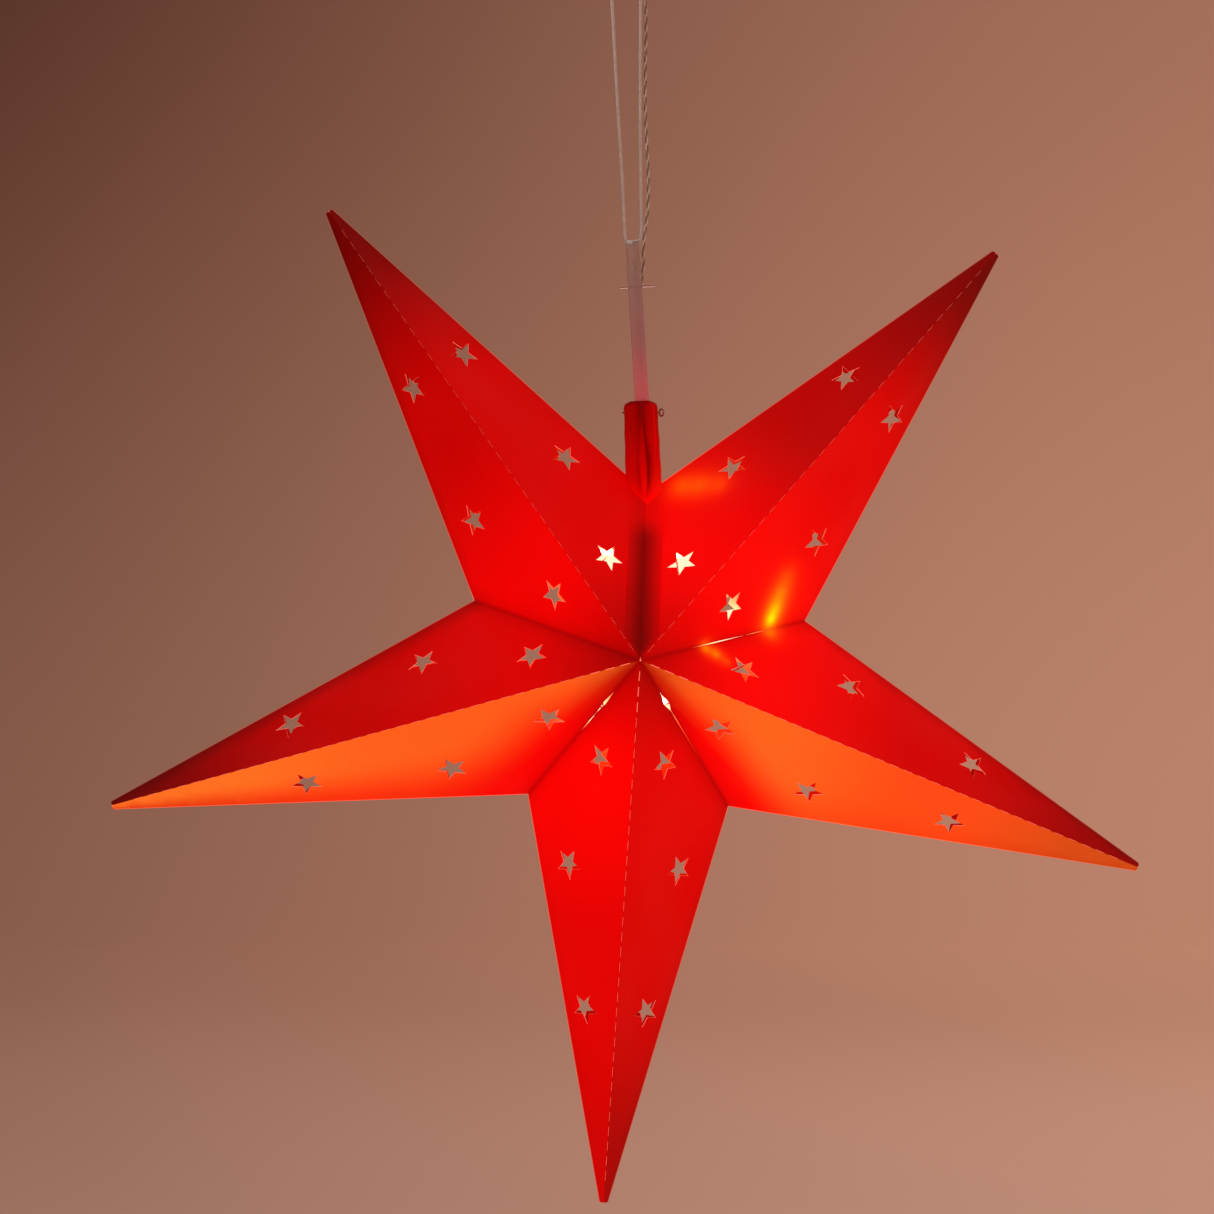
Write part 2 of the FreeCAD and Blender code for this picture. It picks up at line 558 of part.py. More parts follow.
def battery_cell(x):
    foot = Vector(x, cell_y, box_middle.z - CELL_LENGTH / 2)
    barrel = Part.makeCylinder(CELL_DIAMETER / 2, CELL_LENGTH - NUB.z, foot)
    return barrel.fuse(Part.makeCylinder(NUB.x, NUB.z, foot + Vector(0, 0, CELL_LENGTH - NUB.z)))


export("battery_cells", *[battery_cell(x) for x in cell_x])

PLATE = Vector(19.5, 8.6, 0.5)
SPRING_OUTER = 2.6
SPRING_INNER = 1.9
SPRING_LENGTH = 2.8
CONTACT_GAP = 0.1


def battery_contact(end):
    """The plate at the lower (-1) or upper (1) end of the cells, and the springs that press on them."""
    cell_end = box_middle.z + end * (CELL_LENGTH / 2 + CONTACT_GAP)
    low = cell_end if end > 0 else cell_end - SPRING_LENGTH
    plate_low = low + SPRING_LENGTH if end > 0 else low - PLATE.z
    pieces = [block(Vector(box_middle.x + CELL_SHIFT - PLATE.x / 2, cell_y - PLATE.y / 2, plate_low), PLATE)]
    for x in cell_x:
        foot = Vector(x, cell_y, low)
        coil = Part.makeCylinder(SPRING_OUTER, SPRING_LENGTH, foot)
        pieces.append(coil.cut(Part.makeCylinder(SPRING_INNER, SPRING_LENGTH, foot)))
    return pieces[0].fuse(pieces[1:])


export("battery_contacts", battery_contact(-1), battery_contact(1))
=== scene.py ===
import random
from math import asin, atan2, copysign, cos, degrees, hypot, pi, radians, sin, sqrt, tan

import bpy
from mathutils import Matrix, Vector
from mathutils.geometry import delaunay_2d_cdt


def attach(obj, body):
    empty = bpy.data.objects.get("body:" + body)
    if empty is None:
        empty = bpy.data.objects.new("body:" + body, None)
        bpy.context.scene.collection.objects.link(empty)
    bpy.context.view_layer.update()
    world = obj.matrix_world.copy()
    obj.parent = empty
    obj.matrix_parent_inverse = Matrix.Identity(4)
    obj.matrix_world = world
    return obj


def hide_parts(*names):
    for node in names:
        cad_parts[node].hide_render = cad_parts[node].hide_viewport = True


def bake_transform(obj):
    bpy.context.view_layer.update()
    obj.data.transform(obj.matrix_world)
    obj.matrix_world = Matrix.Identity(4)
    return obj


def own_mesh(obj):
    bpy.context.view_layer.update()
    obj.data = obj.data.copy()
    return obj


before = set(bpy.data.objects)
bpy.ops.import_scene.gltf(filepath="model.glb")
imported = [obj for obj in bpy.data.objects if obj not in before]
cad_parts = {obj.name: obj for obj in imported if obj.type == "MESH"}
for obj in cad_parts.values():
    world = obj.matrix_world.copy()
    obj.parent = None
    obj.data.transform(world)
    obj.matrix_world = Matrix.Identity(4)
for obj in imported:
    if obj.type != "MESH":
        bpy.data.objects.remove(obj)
scene = bpy.context.scene
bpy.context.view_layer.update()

# A folded star lantern of translucent red film, lit from inside, hung by a strap and a cord.
# The row frame is in metres from the hook: +Z is up and the star's front faces -Y. The sizes below are in
# millimetres from the middle of the star, and place() converts them.

MM = 0.001
HOOK = Vector((-7.8, 0, 452.25))


def place(x, y, z):
    """This point, in the row frame."""
    return (Vector((x, y, z)) - HOOK) * MM


def new_object(name, data):
    made = bpy.data.objects.new(name, data)
    scene.collection.objects.link(made)
    return made


# ---- camera ----
CAMERA_AT = (-67.5, -2500, 13)
CAMERA_AIM = (-16.4, 0, 29)
camera = bpy.data.cameras.new("camera")
camera.lens = 134.4
camera.sensor_width = 36.0
camera.clip_end = 60.0
viewer = new_object("camera", camera)
viewer.location = place(*CAMERA_AT)
aim = place(*CAMERA_AIM) - viewer.location
viewer.rotation_euler = aim.to_track_quat("-Z", "Y").to_euler()
scene.camera = viewer


# ---- making meshes ----
SHARP_ANGLE = 0.6  # sharper edges than this, in radians, show as edges
SPLINE_STEPS = 12
TWIST_STEPS = 10  # points to one turn of a twisted strand
INNER_CLEARANCE = 0.35  # how far inner points keep from a sheet's border, as a share of their spacing
ROW_SPACING = 0.87
SAME_POINT = 1e-5


def mesh_object(name, vertices, faces, materials, angle=SHARP_ANGLE):
    """A shaded mesh. Its faces are corners or (corners, material index)."""
    mesh = bpy.data.meshes.new(name)
    corners = [f[0] if isinstance(f[0], tuple) else f for f in faces]
    mesh.from_pydata([tuple(v) for v in vertices], [], corners)
    for material in materials:
        mesh.materials.append(material)
    for polygon, f in zip(mesh.polygons, faces):
        if isinstance(f[0], tuple):
            polygon.material_index = f[1]
    mesh.shade_smooth()
    mesh.set_sharp_from_angle(angle=angle)
    return new_object(name, mesh)


def finish_piece(piece, body, slot, *nodes):
    """Puts a piece in place of its CAD nodes, and on its body if it is given one."""
    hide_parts(*nodes)
    if body:
        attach(piece, body)
    return piece


def along_line(points):
    """The line's direction at each of its points."""
    ends = [points[0]] + list(points) + [points[-1]]
    return [(b - a).normalized() for a, b in zip(ends, ends[2:])]


def ring_faces(low, high, sides):
    """The faces between two rings of vertices that begin at low and high."""
    return [(low + k, low + (k + 1) % sides, high + (k + 1) % sides, high + k) for k in range(sides)]


def carried(directions):
    """Two directions across each of these, without a twist from one to the next."""
    side = directions[0].orthogonal().normalized()
    for direction in directions:
        side = (side - direction * side.dot(direction)).normalized()
        yield side, direction.cross(side)


def tube_mesh(points, radius, sides, closed=False):
    """Vertices and faces of a round tube."""
    count = len(points)
    if closed:
        directions = [(points[(i + 1) % count] - points[i - 1]).normalized() for i in range(count)]
    else:
        directions = along_line(points)
    vertices, faces = [], []
    for point, (side, up) in zip(points, carried(directions)):
        for k in range(sides):
            a = 2 * pi * k / sides
            vertices.append(point + (side * cos(a) + up * sin(a)) * radius)
    for i in range(count if closed else count - 1):
        faces += ring_faces(i * sides, (i + 1) % count * sides, sides)
    if not closed:
        faces.append(tuple(reversed(range(sides))))
        faces.append(tuple((count - 1) * sides + k for k in range(sides)))
    return vertices, faces


def joined(parts):
    """Several (vertices, faces) as one."""
    vertices, faces = [], []
    for part_vertices, part_faces in parts:
        base = len(vertices)
        vertices += part_vertices
        faces += [tuple(base + i for i in f) for f in part_faces]
    return vertices, faces


def nurbs_curve(name, points):
    """A curve object of one smooth open spline with these control points."""
    curve = bpy.data.curves.new(name, "CURVE")
    curve.dimensions = "3D"
    curve.resolution_u = SPLINE_STEPS
    spline = curve.splines.new("NURBS")
    spline.points.add(len(points) - 1)
    for control, point in zip(spline.points, points):
        control.co = (*place(*point), 1.0)
    spline.order_u = 3
    spline.use_endpoint_u = True
    return new_object(name, curve)


def nurbs_line(points):
    """The points that Blender gives along such a spline."""
    guide = nurbs_curve("guide", points)
    mesh = bpy.data.meshes.new_from_object(guide)
    line = [v.co.copy() for v in mesh.vertices]
    bpy.data.objects.remove(guide)
    bpy.data.meshes.remove(mesh)
    return line


def evenly(line, step):
    """Points a step apart along a line."""
    result, left = [line[0]], step
    for a, b in zip(line, line[1:]):
        length = (b - a).length
        at = left
        while at <= length:
            result.append(a.lerp(b, at / length))
            at += step
        left = at - length
    return result


def strands(line, count, offset, pitch, radius, sides):
    """Strands that wind round a line of points."""
    parts = []
    line = evenly(line, pitch / TWIST_STEPS)
    directions = along_line(line)
    for strand in range(count):
        points = []
        for i, (point, (side, up)) in enumerate(zip(line, carried(directions))):
            a = 2 * pi * (i / TWIST_STEPS + strand / count)
            points.append(point + (side * cos(a) + up * sin(a)) * offset)
        parts.append(tube_mesh(points, radius, sides))
    return joined(parts)


def smooth(x):
    """0 below 0, 1 above 1, and a soft step between."""
    x = min(1.0, max(0.0, x))
    return x * x * (3 - 2 * x)


def between(x, low, high, at_low, at_high):
    """A soft step from one value to another as x goes from low to high."""
    return at_low + (at_high - at_low) * smooth((x - low) / (high - low))


def inside(polygon, x, y):
    """True if the point is within the closed polygon."""
    result = False
    for (x1, y1), (x2, y2) in zip(polygon, polygon[1:] + polygon[:1]):
        if (y1 > y) != (y2 > y) and x < (x2 - x1) * (y - y1) / (y2 - y1) + x1:
            result = not result
    return result


def cut_sheet(loops, spacing):
    """A flat sheet cut to its first loop, with the others as holes: its points, its triangles, and each
    point's place in the loops, or -1."""
    flat, edges = [], []
    for loop in loops:
        base = len(flat)
        flat += loop
        edges += [(base + i, base + (i + 1) % len(loop)) for i in range(len(loop))]
    border = list(flat)

    def within(x, y):
        return inside(loops[0], x, y) and not any(inside(hole, x, y) for hole in loops[1:])

    low_x, high_x = (f(x for x, _ in loops[0]) for f in (min, max))
    low_y, high_y = (f(y for _, y in loops[0]) for f in (min, max))
    clearance = (INNER_CLEARANCE * spacing) ** 2
    row = 0
    x = low_x + spacing / 2
    while x < high_x:
        y = low_y + spacing * (0.5 if row % 2 else 1.0)
        while y < high_y:
            if within(x, y) and min((x - a) ** 2 + (y - b) ** 2 for a, b in border) > clearance:
                flat.append((x, y))
            y += spacing
        x += spacing * ROW_SPACING
        row += 1
    points, _, triangles, origins, _, _ = delaunay_2d_cdt([Vector(f) for f in flat], edges, [], 1, SAME_POINT)
    kept = [tuple(t) for t in triangles if within(*(sum(points[i][k] for i in t) / 3 for k in (0, 1)))]
    return points, kept, [o[0] if o and o[0] < len(border) else -1 for o in origins]


def two_skins(outer, triangles, outward):
    """Faces of a thin sheet of outer points and then as many inner ones. Its outer skin, inner skin and walls
    have materials 0, 1 and 2."""
    a, b, c = (outer[i] for i in triangles[0])
    if (b - a).cross(c - a).dot(outward) < 0:
        triangles = [t[::-1] for t in triangles]
    count = len(outer)
    faces = [(t, 0) for t in triangles] + [(tuple(count + i for i in reversed(t)), 1) for t in triangles]
    sides = {(i, j) for t in triangles for i, j in zip(t, t[1:] + t[:1])}
    faces += [((j, i, count + i, count + j), 2) for i, j in sorted(sides) if (j, i) not in sides]
    return faces


def set_attribute(piece, name, values):
    """A number or a vector at each vertex, for the materials to read."""
    if isinstance(values[0], tuple):
        attribute = piece.data.attributes.new(name, "FLOAT_VECTOR", "POINT")
        attribute.data.foreach_set("vector", [c for v in values for c in v])
    else:
        attribute = piece.data.attributes.new(name, "FLOAT", "POINT")
        attribute.data.foreach_set("value", values)


def film_piece(name, body, skins, triangles, outward, materials, levels, warm_reflections=None, creases=None):
    """A piece of film with an outer and an inner skin. Its points know how brightly they glow, how much
    painted orange reflection they carry, and how far they are from the panel's creases."""
    outer, inner = ([place(*point) for point in skin] for skin in skins)
    piece = mesh_object(name + "_film", outer + inner, two_skins(outer, triangles, outward), materials)
    set_attribute(piece, "level", levels * 2)
    set_attribute(piece, "warm", (warm_reflections or [0.0] * len(levels)) * 2)
    set_attribute(piece, "crease", (creases or [NO_CREASE] * len(levels)) * 2)
    return finish_piece(piece, body, "film", name)


# ---- the star's shape ----
CUT_TIP_RADIUS = 300
SHARP_TIP_RADIUS = 310
VALLEY_RADIUS = 95.6
HALF_DEPTH = 75
UNIT_ANGLE = 71
POINTS = 5
CLOSURE = 86.5  # the plane in which the star closes, in degrees from +X towards +Z
CLOSURE_GAP = 5
FILM = 0.4
APEX_HOLE = 0.4
STAR_HOLE = 9
STAR_HOLE_INNER = 0.42
STAR_HOLES = [(57.9, 17.7), (117.9, 15), (193.5, 5)]
SLIT_PITCH = 8.6  # the perforation along a ridge
SLIT_LENGTH = 5.6
SLIT_HALF_WIDTH = {1: 0.04, 2: 0.05, 3: 0.13, 4: 0.09, 5: 0.13}
SLIT_AT_APEX = 0.26  # half the width of the slits nearest the apex
SLIT_APEX_REACH = 24
GRID = 7
SWELL = 0.9  # how far the film waves off its plane
NO_CREASE = (9.0, 9.0, 9.0)
LEFT, RIGHT = 1, -1
FRONT, BACK = -1, 1
FIXED_PANEL = (2, LEFT, FRONT)  # the one on the star's own body, that the other panels would fold towards
CLOSING_PANELS = [(1, RIGHT), (2, LEFT)]


def in_plane(radius, angle):
    """A point of the mid-plane at this distance and angle in degrees, seen from the front."""
    a = radians(angle)
    return Vector((radius * cos(a), 0.0, radius * sin(a)))


FIRST_RIDGE = CLOSURE - CLOSURE_GAP / 2 - UNIT_ANGLE / 2
RIDGES = {2 + i if i < POINTS - 1 else 1: FIRST_RIDGE - UNIT_ANGLE * i for i in range(POINTS)}


class Panel:
    """One film panel and its flat frame: p runs along the ridge from the apex, and q away from it."""

    def __init__(self, number, side, face):
        self.number, self.side, self.face = number, side, face
        self.ridge = RIDGES[number]
        self.face_name = "front" if face == FRONT else "back"
        self.name = "point_%d_%s_%s" % (number, self.face_name, "left" if side == LEFT else "right")
        fixed = (number, side, face) == FIXED_PANEL
        self.body = "star" if fixed else self.name.replace("point", "panel")
        self.apex = Vector((0, face * HALF_DEPTH, 0))
        self.tip = in_plane(SHARP_TIP_RADIUS, self.ridge)
        self.valley = in_plane(VALLEY_RADIUS, self.ridge + side * UNIT_ANGLE / 2)
        normal = (self.tip - self.apex).cross(self.valley - self.apex).normalized()
        self.normal = normal if normal.y * face > 0 else -normal
        self.along = (self.tip - self.apex).normalized()
        self.across = self.normal.cross(self.along).normalized()
        if self.across.dot(self.valley - self.apex) < 0:
            self.across = -self.across
        self.tip_p = self.flat(self.tip)[0]
        self.valley_p, self.valley_q = self.flat(self.valley)
        self.planes = {
            "ridge": in_plane(1, self.ridge + side * 90),
            "valley": in_plane(1, self.ridge + side * (UNIT_ANGLE / 2 - 90)),
            "side": Vector((0, face, 0)),
        }

    def flat(self, point):
        offset = point - self.apex
        return offset.dot(self.along), offset.dot(self.across)

    def solid(self, p, q, lift=0.0):
        return self.apex + self.along * p + self.across * q + self.normal * lift

    def seen(self, x, z):
        """The flat place of what is seen at x, z from the front."""
        depth = self.apex.y - (x * self.normal.x + z * self.normal.z) / self.normal.y
        return self.flat(Vector((x, depth, z)))

    def mitre(self, kind):
        """From the outer face to the inner one, in the plane that this edge shares with its neighbour."""
        plane = self.planes[kind]
        slant = (self.normal - plane * self.normal.dot(plane)).normalized()
        return slant * (-FILM / slant.dot(self.normal))

    def distances(self, p, q):
        """How far a flat place is from the ridge, the valley and the outer edge."""
        from_valley = (p * self.valley_q - q * self.valley_p) / hypot(self.valley_p, self.valley_q)
        reach = self.tip_p - self.valley_p
        from_edge = (self.valley_q * (self.tip_p - p) - q * reach) / hypot(self.valley_q, reach)
        return q, from_valley, from_edge


def panel_at(x, z, face):
    """The front or back panel that is seen at x, z from the front."""
    angle = degrees(atan2(z, x))
    offs = [((angle - ridge + 180.0) % 360.0 - 180.0, number) for number, ridge in RIDGES.items()]
    off, number = min(offs, key=lambda pair: abs(pair[0]))
    return Panel(number, LEFT if off > 0 else RIGHT, face)


def skin(x, z, face):
    """The point of the front or back film there."""
    panel = panel_at(x, z, face)
    return panel.solid(*panel.seen(x, z))


# ---- materials ----
class Nodes:
    """A short way to write nodes. A value that is a socket is linked, and any other is set."""

    def __init__(self, name):
        self.material = bpy.data.materials.new(name)
        self.material.use_nodes = True
        self.tree = self.material.node_tree
        self.tree.nodes.clear()
        self.out = self.tree.nodes.new("ShaderNodeOutputMaterial")
        self.at = self.add("TexCoord").outputs["Object"]

    def add(self, kind, inputs=None, **settings):
        node = self.tree.nodes.new("ShaderNode" + kind)
        for key, value in settings.items():
            setattr(node, key, value)
        for key, value in (inputs or {}).items():
            self.give(node.inputs[key], value)
        return node

    def give(self, socket, value):
        if isinstance(value, bpy.types.NodeSocket):
            self.tree.links.new(value, socket)
        else:
            socket.default_value = value

    def math(self, operation, a, b):
        node = self.add("Math", operation=operation)
        self.give(node.inputs[0], a)
        self.give(node.inputs[1], b)
        return node.outputs[0]

    def times(self, a, b):
        return self.math("MULTIPLY", a, b)

    def plus(self, a, b):
        return self.math("ADD", a, b)

    def total(self, values):
        result = values[0]
        for value in values[1:]:
            result = self.plus(result, value)
        return result

    def step(self, value, low, high, low_out, high_out):
        """A soft step from one output to another as the value goes from low to high."""
        node = self.add("MapRange", {"Value": value, "From Min": low, "From Max": high, "To Min": low_out,
                                     "To Max": high_out}, interpolation_type="SMOOTHSTEP")
        return node.outputs["Result"]

    def ramp(self, factor, stops):
        node = self.add("ValToRGB", {"Fac": factor})
        elements = node.color_ramp.elements
        while len(elements) < len(stops):
            elements.new(0.5)
        for element, (position, colour) in zip(elements, stops):
            element.position = position
            element.color = (*colour, 1.0)
        return node.outputs["Color"]

    def noise(self, scale, detail, roughness):
        return self.add("TexNoise", {"Vector": self.at, "Scale": scale, "Detail": detail,
                                     "Roughness": roughness}).outputs["Fac"]

    def bump(self, height, strength, distance):
        node = self.add("Bump", {"Height": height, "Strength": strength, "Distance": distance})
        return node.outputs["Normal"]

    def attribute(self, name, output="Fac"):
        return self.add("Attribute", attribute_name=name).outputs[output]

    def glows(self, spots):
        """Light from spots, each a centre, a reach and a strength."""
        shares = []
        for centre, reach, strength in spots:
            node = self.add("VectorMath", {0: self.at, 1: tuple(place(*centre))}, operation="DISTANCE")
            away = self.math("DIVIDE", node.outputs["Value"], reach * MM)
            fall = self.math("POWER", self.plus(self.times(away, away), 1.0), 2.0)
            shares.append(self.math("DIVIDE", strength, fall))
        return self.total(shares)

    def colour(self, red, green, blue):
        return self.add("CombineColor", {"Red": red, "Green": green, "Blue": blue}).outputs["Color"]

    def finish(self, colour, roughness, glow=None, **more):
        """The finished material. In the names of more sockets, _ stands for a space."""
        inputs = {"Base Color": colour, "Roughness": roughness}
        inputs.update({key.replace("_", " "): value for key, value in more.items()})
        if glow:
            inputs.update({"Emission Color": glow, "Emission Strength": 1.0})
        shader = self.add("BsdfPrincipled", inputs)
        self.tree.links.new(shader.outputs["BSDF"], self.out.inputs["Surface"])
        return self.material


# Light that an LED throws on the film: x and z as seen from the front, its reach and its strength.
OUTER_SPOTS = [
    (73, 22, 6, 1.3), (75.5, 28, 7.5, 0.8), (78.5, 36, 9, 0.46), (82, 45, 10, 0.24),
    (72.5, 14.5, 6.5, 0.32), (36, 6.5, 4.8, 0.6), (42, 3.5, 4.8, 0.55), (48, -0.5, 4.2, 0.26),
    (24, 96, 10, 0.3), (34, 96, 11, 0.28), (45, 95.5, 10, 0.22),
]
# The same on the inner side of the back, seen through the holes and the slits.
INNER_SPOTS = [
    (-16, 60.5, 15, 9), (23, 58.5, 15, 8), (43, 21, 9, 6), (54, 17, 14, 2.5),
    (12.5, -21, 11, 6), (-24, -27, 12, 3), (2, 76, 7, 6), (2, -8, 9, 3),
]
# Noise textures: scale, detail and roughness.
PAPER_FIBRE = (900, 4, 0.6)
PAPER_CLOUDS = (26, 3, 0.5)
EDGE_FIBRE = (1500, 3, 0.6)
HAZE = (160, 4, 0.6)
STUDIO_CLOUDS = (0.6, 2, 0.4)
# How much the fibre and the clouds vary the film's glow, and the glow's even part.
FIBRE_TONE, CLOUD_TONE, EVEN_TONE = 0.07, 0.12, 0.905
# Soft steps beside the edges: painted shade along the valleys and ridges, and a painted pale highlight along
# the cut edge; from and to, in millimetres, and the share before and after.
VALLEY_LINE = (0.2, 2.4, 0.74, 1)
RIDGE_LINE = (0.15, 0.9, 0.88, 1)
EDGE_HIGHLIGHT_LINE = (0.25, 0.75, 1, 0)
# Colour of the painted pale highlight along the cut edge.
EDGE_HIGHLIGHT_RED, EDGE_HIGHLIGHT_GREEN, EDGE_HIGHLIGHT_BLUE = 0.22, 0.1, 0.06
# Green and blue of the painted orange reflection of a warm light from below.
REFLECTION_GREEN, REFLECTION_BLUE = 0.125, 0.011
SPOT_POWER, SPOT_GREEN = 1.7, 0.36
FILM_COLOUR = (0.24, 0.24 * 0.008, 0.24 * 0.007, 1)
FILM_GLOSS = (1, 0.03, 0.02, 1)
INSIDE_COLOUR = (0.4, 0.02, 0.015, 1)
# A painted glow on the inner side, brightest in the middle: its centre, reach and strength.
INSIDE_MIDDLE = ((0, 0, 0), 120, 0.9)
INSIDE_MOST = (1.2, 0.96, 0.62)


def spots_on(n, spots, face):
    """The light of these spots of the front or back film."""
    return n.glows([(tuple(skin(x, z, face)), reach, strength) for x, z, reach, strength in spots])


def film_material():
    """Red film that glows as its attributes say, with painted shade along its creases, a painted orange
    reflection on two panels, paper fibre, clouds and a painted pale highlight along its cut edges.
    """
    n = Nodes("film")
    fibre = n.noise(*PAPER_FIBRE)
    clouds = n.noise(*PAPER_CLOUDS)
    mottle = n.total([n.times(fibre, FIBRE_TONE), n.times(clouds, CLOUD_TONE), EVEN_TONE])
    level = n.times(n.attribute("level"), mottle)
    # The painted orange reflection of a warm light from below, on two of the panels.
    warm = n.times(n.attribute("warm"), mottle)
    spots = spots_on(n, OUTER_SPOTS, FRONT)
    edges = n.add("SeparateXYZ", {"Vector": n.attribute("crease", "Vector")}).outputs
    shade = n.times(n.step(edges["Y"], *VALLEY_LINE), n.step(edges["X"], *RIDGE_LINE))
    # A painted pale highlight along the film's cut edge.
    edge_highlight = n.step(edges["Z"], *EDGE_HIGHLIGHT_LINE)
    red = n.plus(n.times(n.plus(level, spots), shade), n.times(edge_highlight, EDGE_HIGHLIGHT_RED))
    green = n.plus(n.times(warm, REFLECTION_GREEN), n.times(n.math("POWER", spots, SPOT_POWER), SPOT_GREEN))
    green = n.plus(n.times(green, shade), n.times(edge_highlight, EDGE_HIGHLIGHT_GREEN))
    blue = n.plus(n.times(warm, REFLECTION_BLUE), n.times(edge_highlight, EDGE_HIGHLIGHT_BLUE))
    return n.finish(FILM_COLOUR, n.plus(n.times(fibre, 0.14), 0.33), n.colour(red, green, blue),
                    Specular_IOR_Level=0.22, Specular_Tint=FILM_GLOSS,
                    Normal=n.bump(n.plus(n.times(fibre, 0.4), clouds), 0.12, 0.0006))


def film_inside_material():
    """The film's inner side, with a painted glow: bright red, and yellow-white where an LED is close."""
    n = Nodes("film_inside")
    fibre = n.noise(*PAPER_FIBRE)
    spots = spots_on(n, INNER_SPOTS, BACK)
    middle = n.glows([INSIDE_MIDDLE])
    red = n.total([n.times(fibre, 0.1), middle, 0.10, spots])
    green = n.plus(n.times(n.math("POWER", spots, 1.2), 0.72), n.times(middle, 0.015))
    blue = n.times(n.math("POWER", spots, 1.6), 0.30)
    glow = n.colour(*(n.math("MINIMUM", part, most) for part, most in zip((red, green, blue), INSIDE_MOST)))
    return n.finish(INSIDE_COLOUR, n.plus(fibre, 0.2), glow)


def cut_edge_material():
    """The cut edge of the film, where its pale core catches the light."""
    n = Nodes("film_cut_edge")
    fibre = n.noise(*EDGE_FIBRE)
    glow = n.ramp(fibre, [(0.3, (0.55, 0.07, 0.04)), (0.7, (0.75, 0.16, 0.10))])
    return n.finish((0.75, 0.30, 0.25, 1.0), n.plus(fibre, 0.15), glow)


def plain_material(name, colour, roughness, grain=300.0, bump=0.1, distance=0.0003, **more):
    """One plain substance with a little variation of colour, roughness and height."""
    n = Nodes(name)
    fine = n.noise(grain, 4.0, 0.6)
    darker = tuple(c * 0.85 for c in colour)
    lighter = tuple(min(1.0, c * 1.1) for c in colour)
    colour = n.ramp(fine, [(0.3, darker), (0.7, lighter)])
    roughness = n.plus(n.times(fine, 0.15), roughness - 0.07)
    return n.finish(colour, roughness, Normal=n.bump(fine, bump, distance), **more)


# The strap's colour and glow, from top to bottom.
STRAP_COLOURS = [(0, (0.74, 0.6, 0.55)), (1, (0.7, 0.42, 0.42))]
STRAP_GLOW = [(0, (0.01, 0.004, 0.004)), (0.6, (0.03, 0.006, 0.008)), (1, (0.1, 0.008, 0.012))]


def strap_material():
    """Clear soft plastic that carries the star's light a little way up."""
    n = Nodes("clear_pvc")
    haze = n.noise(*HAZE)
    level = n.attribute("level")
    return n.finish(n.ramp(level, STRAP_COLOURS), n.plus(n.times(haze, 0.2), 0.14), n.ramp(level, STRAP_GLOW),
                    Transmission_Weight=0.72, IOR=1.4, Normal=n.bump(haze, 0.15, 0.0003))


film = film_material()
film_inside = film_inside_material()
cut_edge = cut_edge_material()
FILM_SET = [film, film_inside, cut_edge]
DOUBLED_SET = [film, film, film]
clear_pvc = strap_material()
clear_cord = plain_material("clear_cord", (0.82, 0.74, 0.70), 0.22, 500.0, Transmission_Weight=0.35, IOR=1.45)
lead_skin = plain_material("lead_skin", (0.72, 0.66, 0.56), 0.22, 700.0)
clear_pin = plain_material("clear_pin", (0.62, 0.40, 0.36), 0.2, 400.0, Transmission_Weight=0.8, IOR=1.3)
lead_dark = plain_material("lead_dark", (0.24, 0.19, 0.16), 0.22, 700.0)
sleeve_black = plain_material("sleeve_black", (0.03, 0.012, 0.012), 0.5)
steel = plain_material("steel", (0.42, 0.17, 0.15), 0.30, 900.0, Metallic=1.0)
nickel = plain_material("nickel", (0.72, 0.70, 0.66), 0.22, 900.0, Metallic=1.0)
box_plastic = plain_material("box_plastic", (0.82, 0.80, 0.76), 0.42, 1600.0, 0.25, 0.0001)
black_plastic = plain_material("black_plastic", (0.035, 0.035, 0.037), 0.45, 1600.0, 0.2, 0.0001)
cell_jacket = plain_material("cell_jacket", (0.10, 0.16, 0.22), 0.3, 60.0)
bulb_lit = plain_material("bulb_lit", (1.0, 0.86, 0.62), 0.2, 400.0,
                          Emission_Color=(1.0, 0.80, 0.42, 1.0), Emission_Strength=6.0)


# ---- cords ----
CORD_ROUTE = [
    (-17.1, 0, 428.1), (-16, 0, 400), (-13.4, 0, 356), (-10.8, 0, 308), (-8, 0, 266), (-7.1, 0, 244),
    (-6.7, 0, 234), (-5.7, 0, 229.4), (-2.2, 0, 227.9), (1.3, 0, 229.4), (2.3, 0, 234), (2.5, 0, 244),
    (2.1, 0, 266), (1.8, 0, 308), (2, 0, 356), (2.3, 0, 400), (2.4, 0, 430), (1.6, 0, 446),
    (-2.6, 0, 453.1), (-7.8, 0, 453.35), (-13.2, 0, 452.8), (-17.4, 0, 446), (-17.6, 0, 440),
    (-17.3, 0, 433.9),
]
KNOT = (-17.2, 0, 431)
KNOT_STEPS = 72
KNOT_WIDTH, KNOT_DEPTH, KNOT_HEIGHT = 0.5, 0.4, 2.1
CORD_RADIUS = 0.001
LEAD_UPPER = [
    (4, 9, 382), (4.6, 8, 372), (5.6, 4.4, 354), (4.7, 1.8, 326), (4.9, 1, 296), (6.6, 0.4, 268),
    (6.2, 0.1, 248), (4.7, 0, 237), (3.7, 0, 227.6),
]
LEAD_LOWER = [
    (3.6, 0.1, 225.8), (3.9, 1.4, 217.5), (2.6, 3.8, 207.5), (1, 4, 193), (2, 3.8, 170), (3.8, 3.4, 150),
    (3.2, 2.9, 134), (3.1, 1, 126), (3.1, 0.4, 120),
]
LEAD_BEND = [(4.4, 0, 234.5), (4, 0, 219)]  # where the lead would bend as the star swings
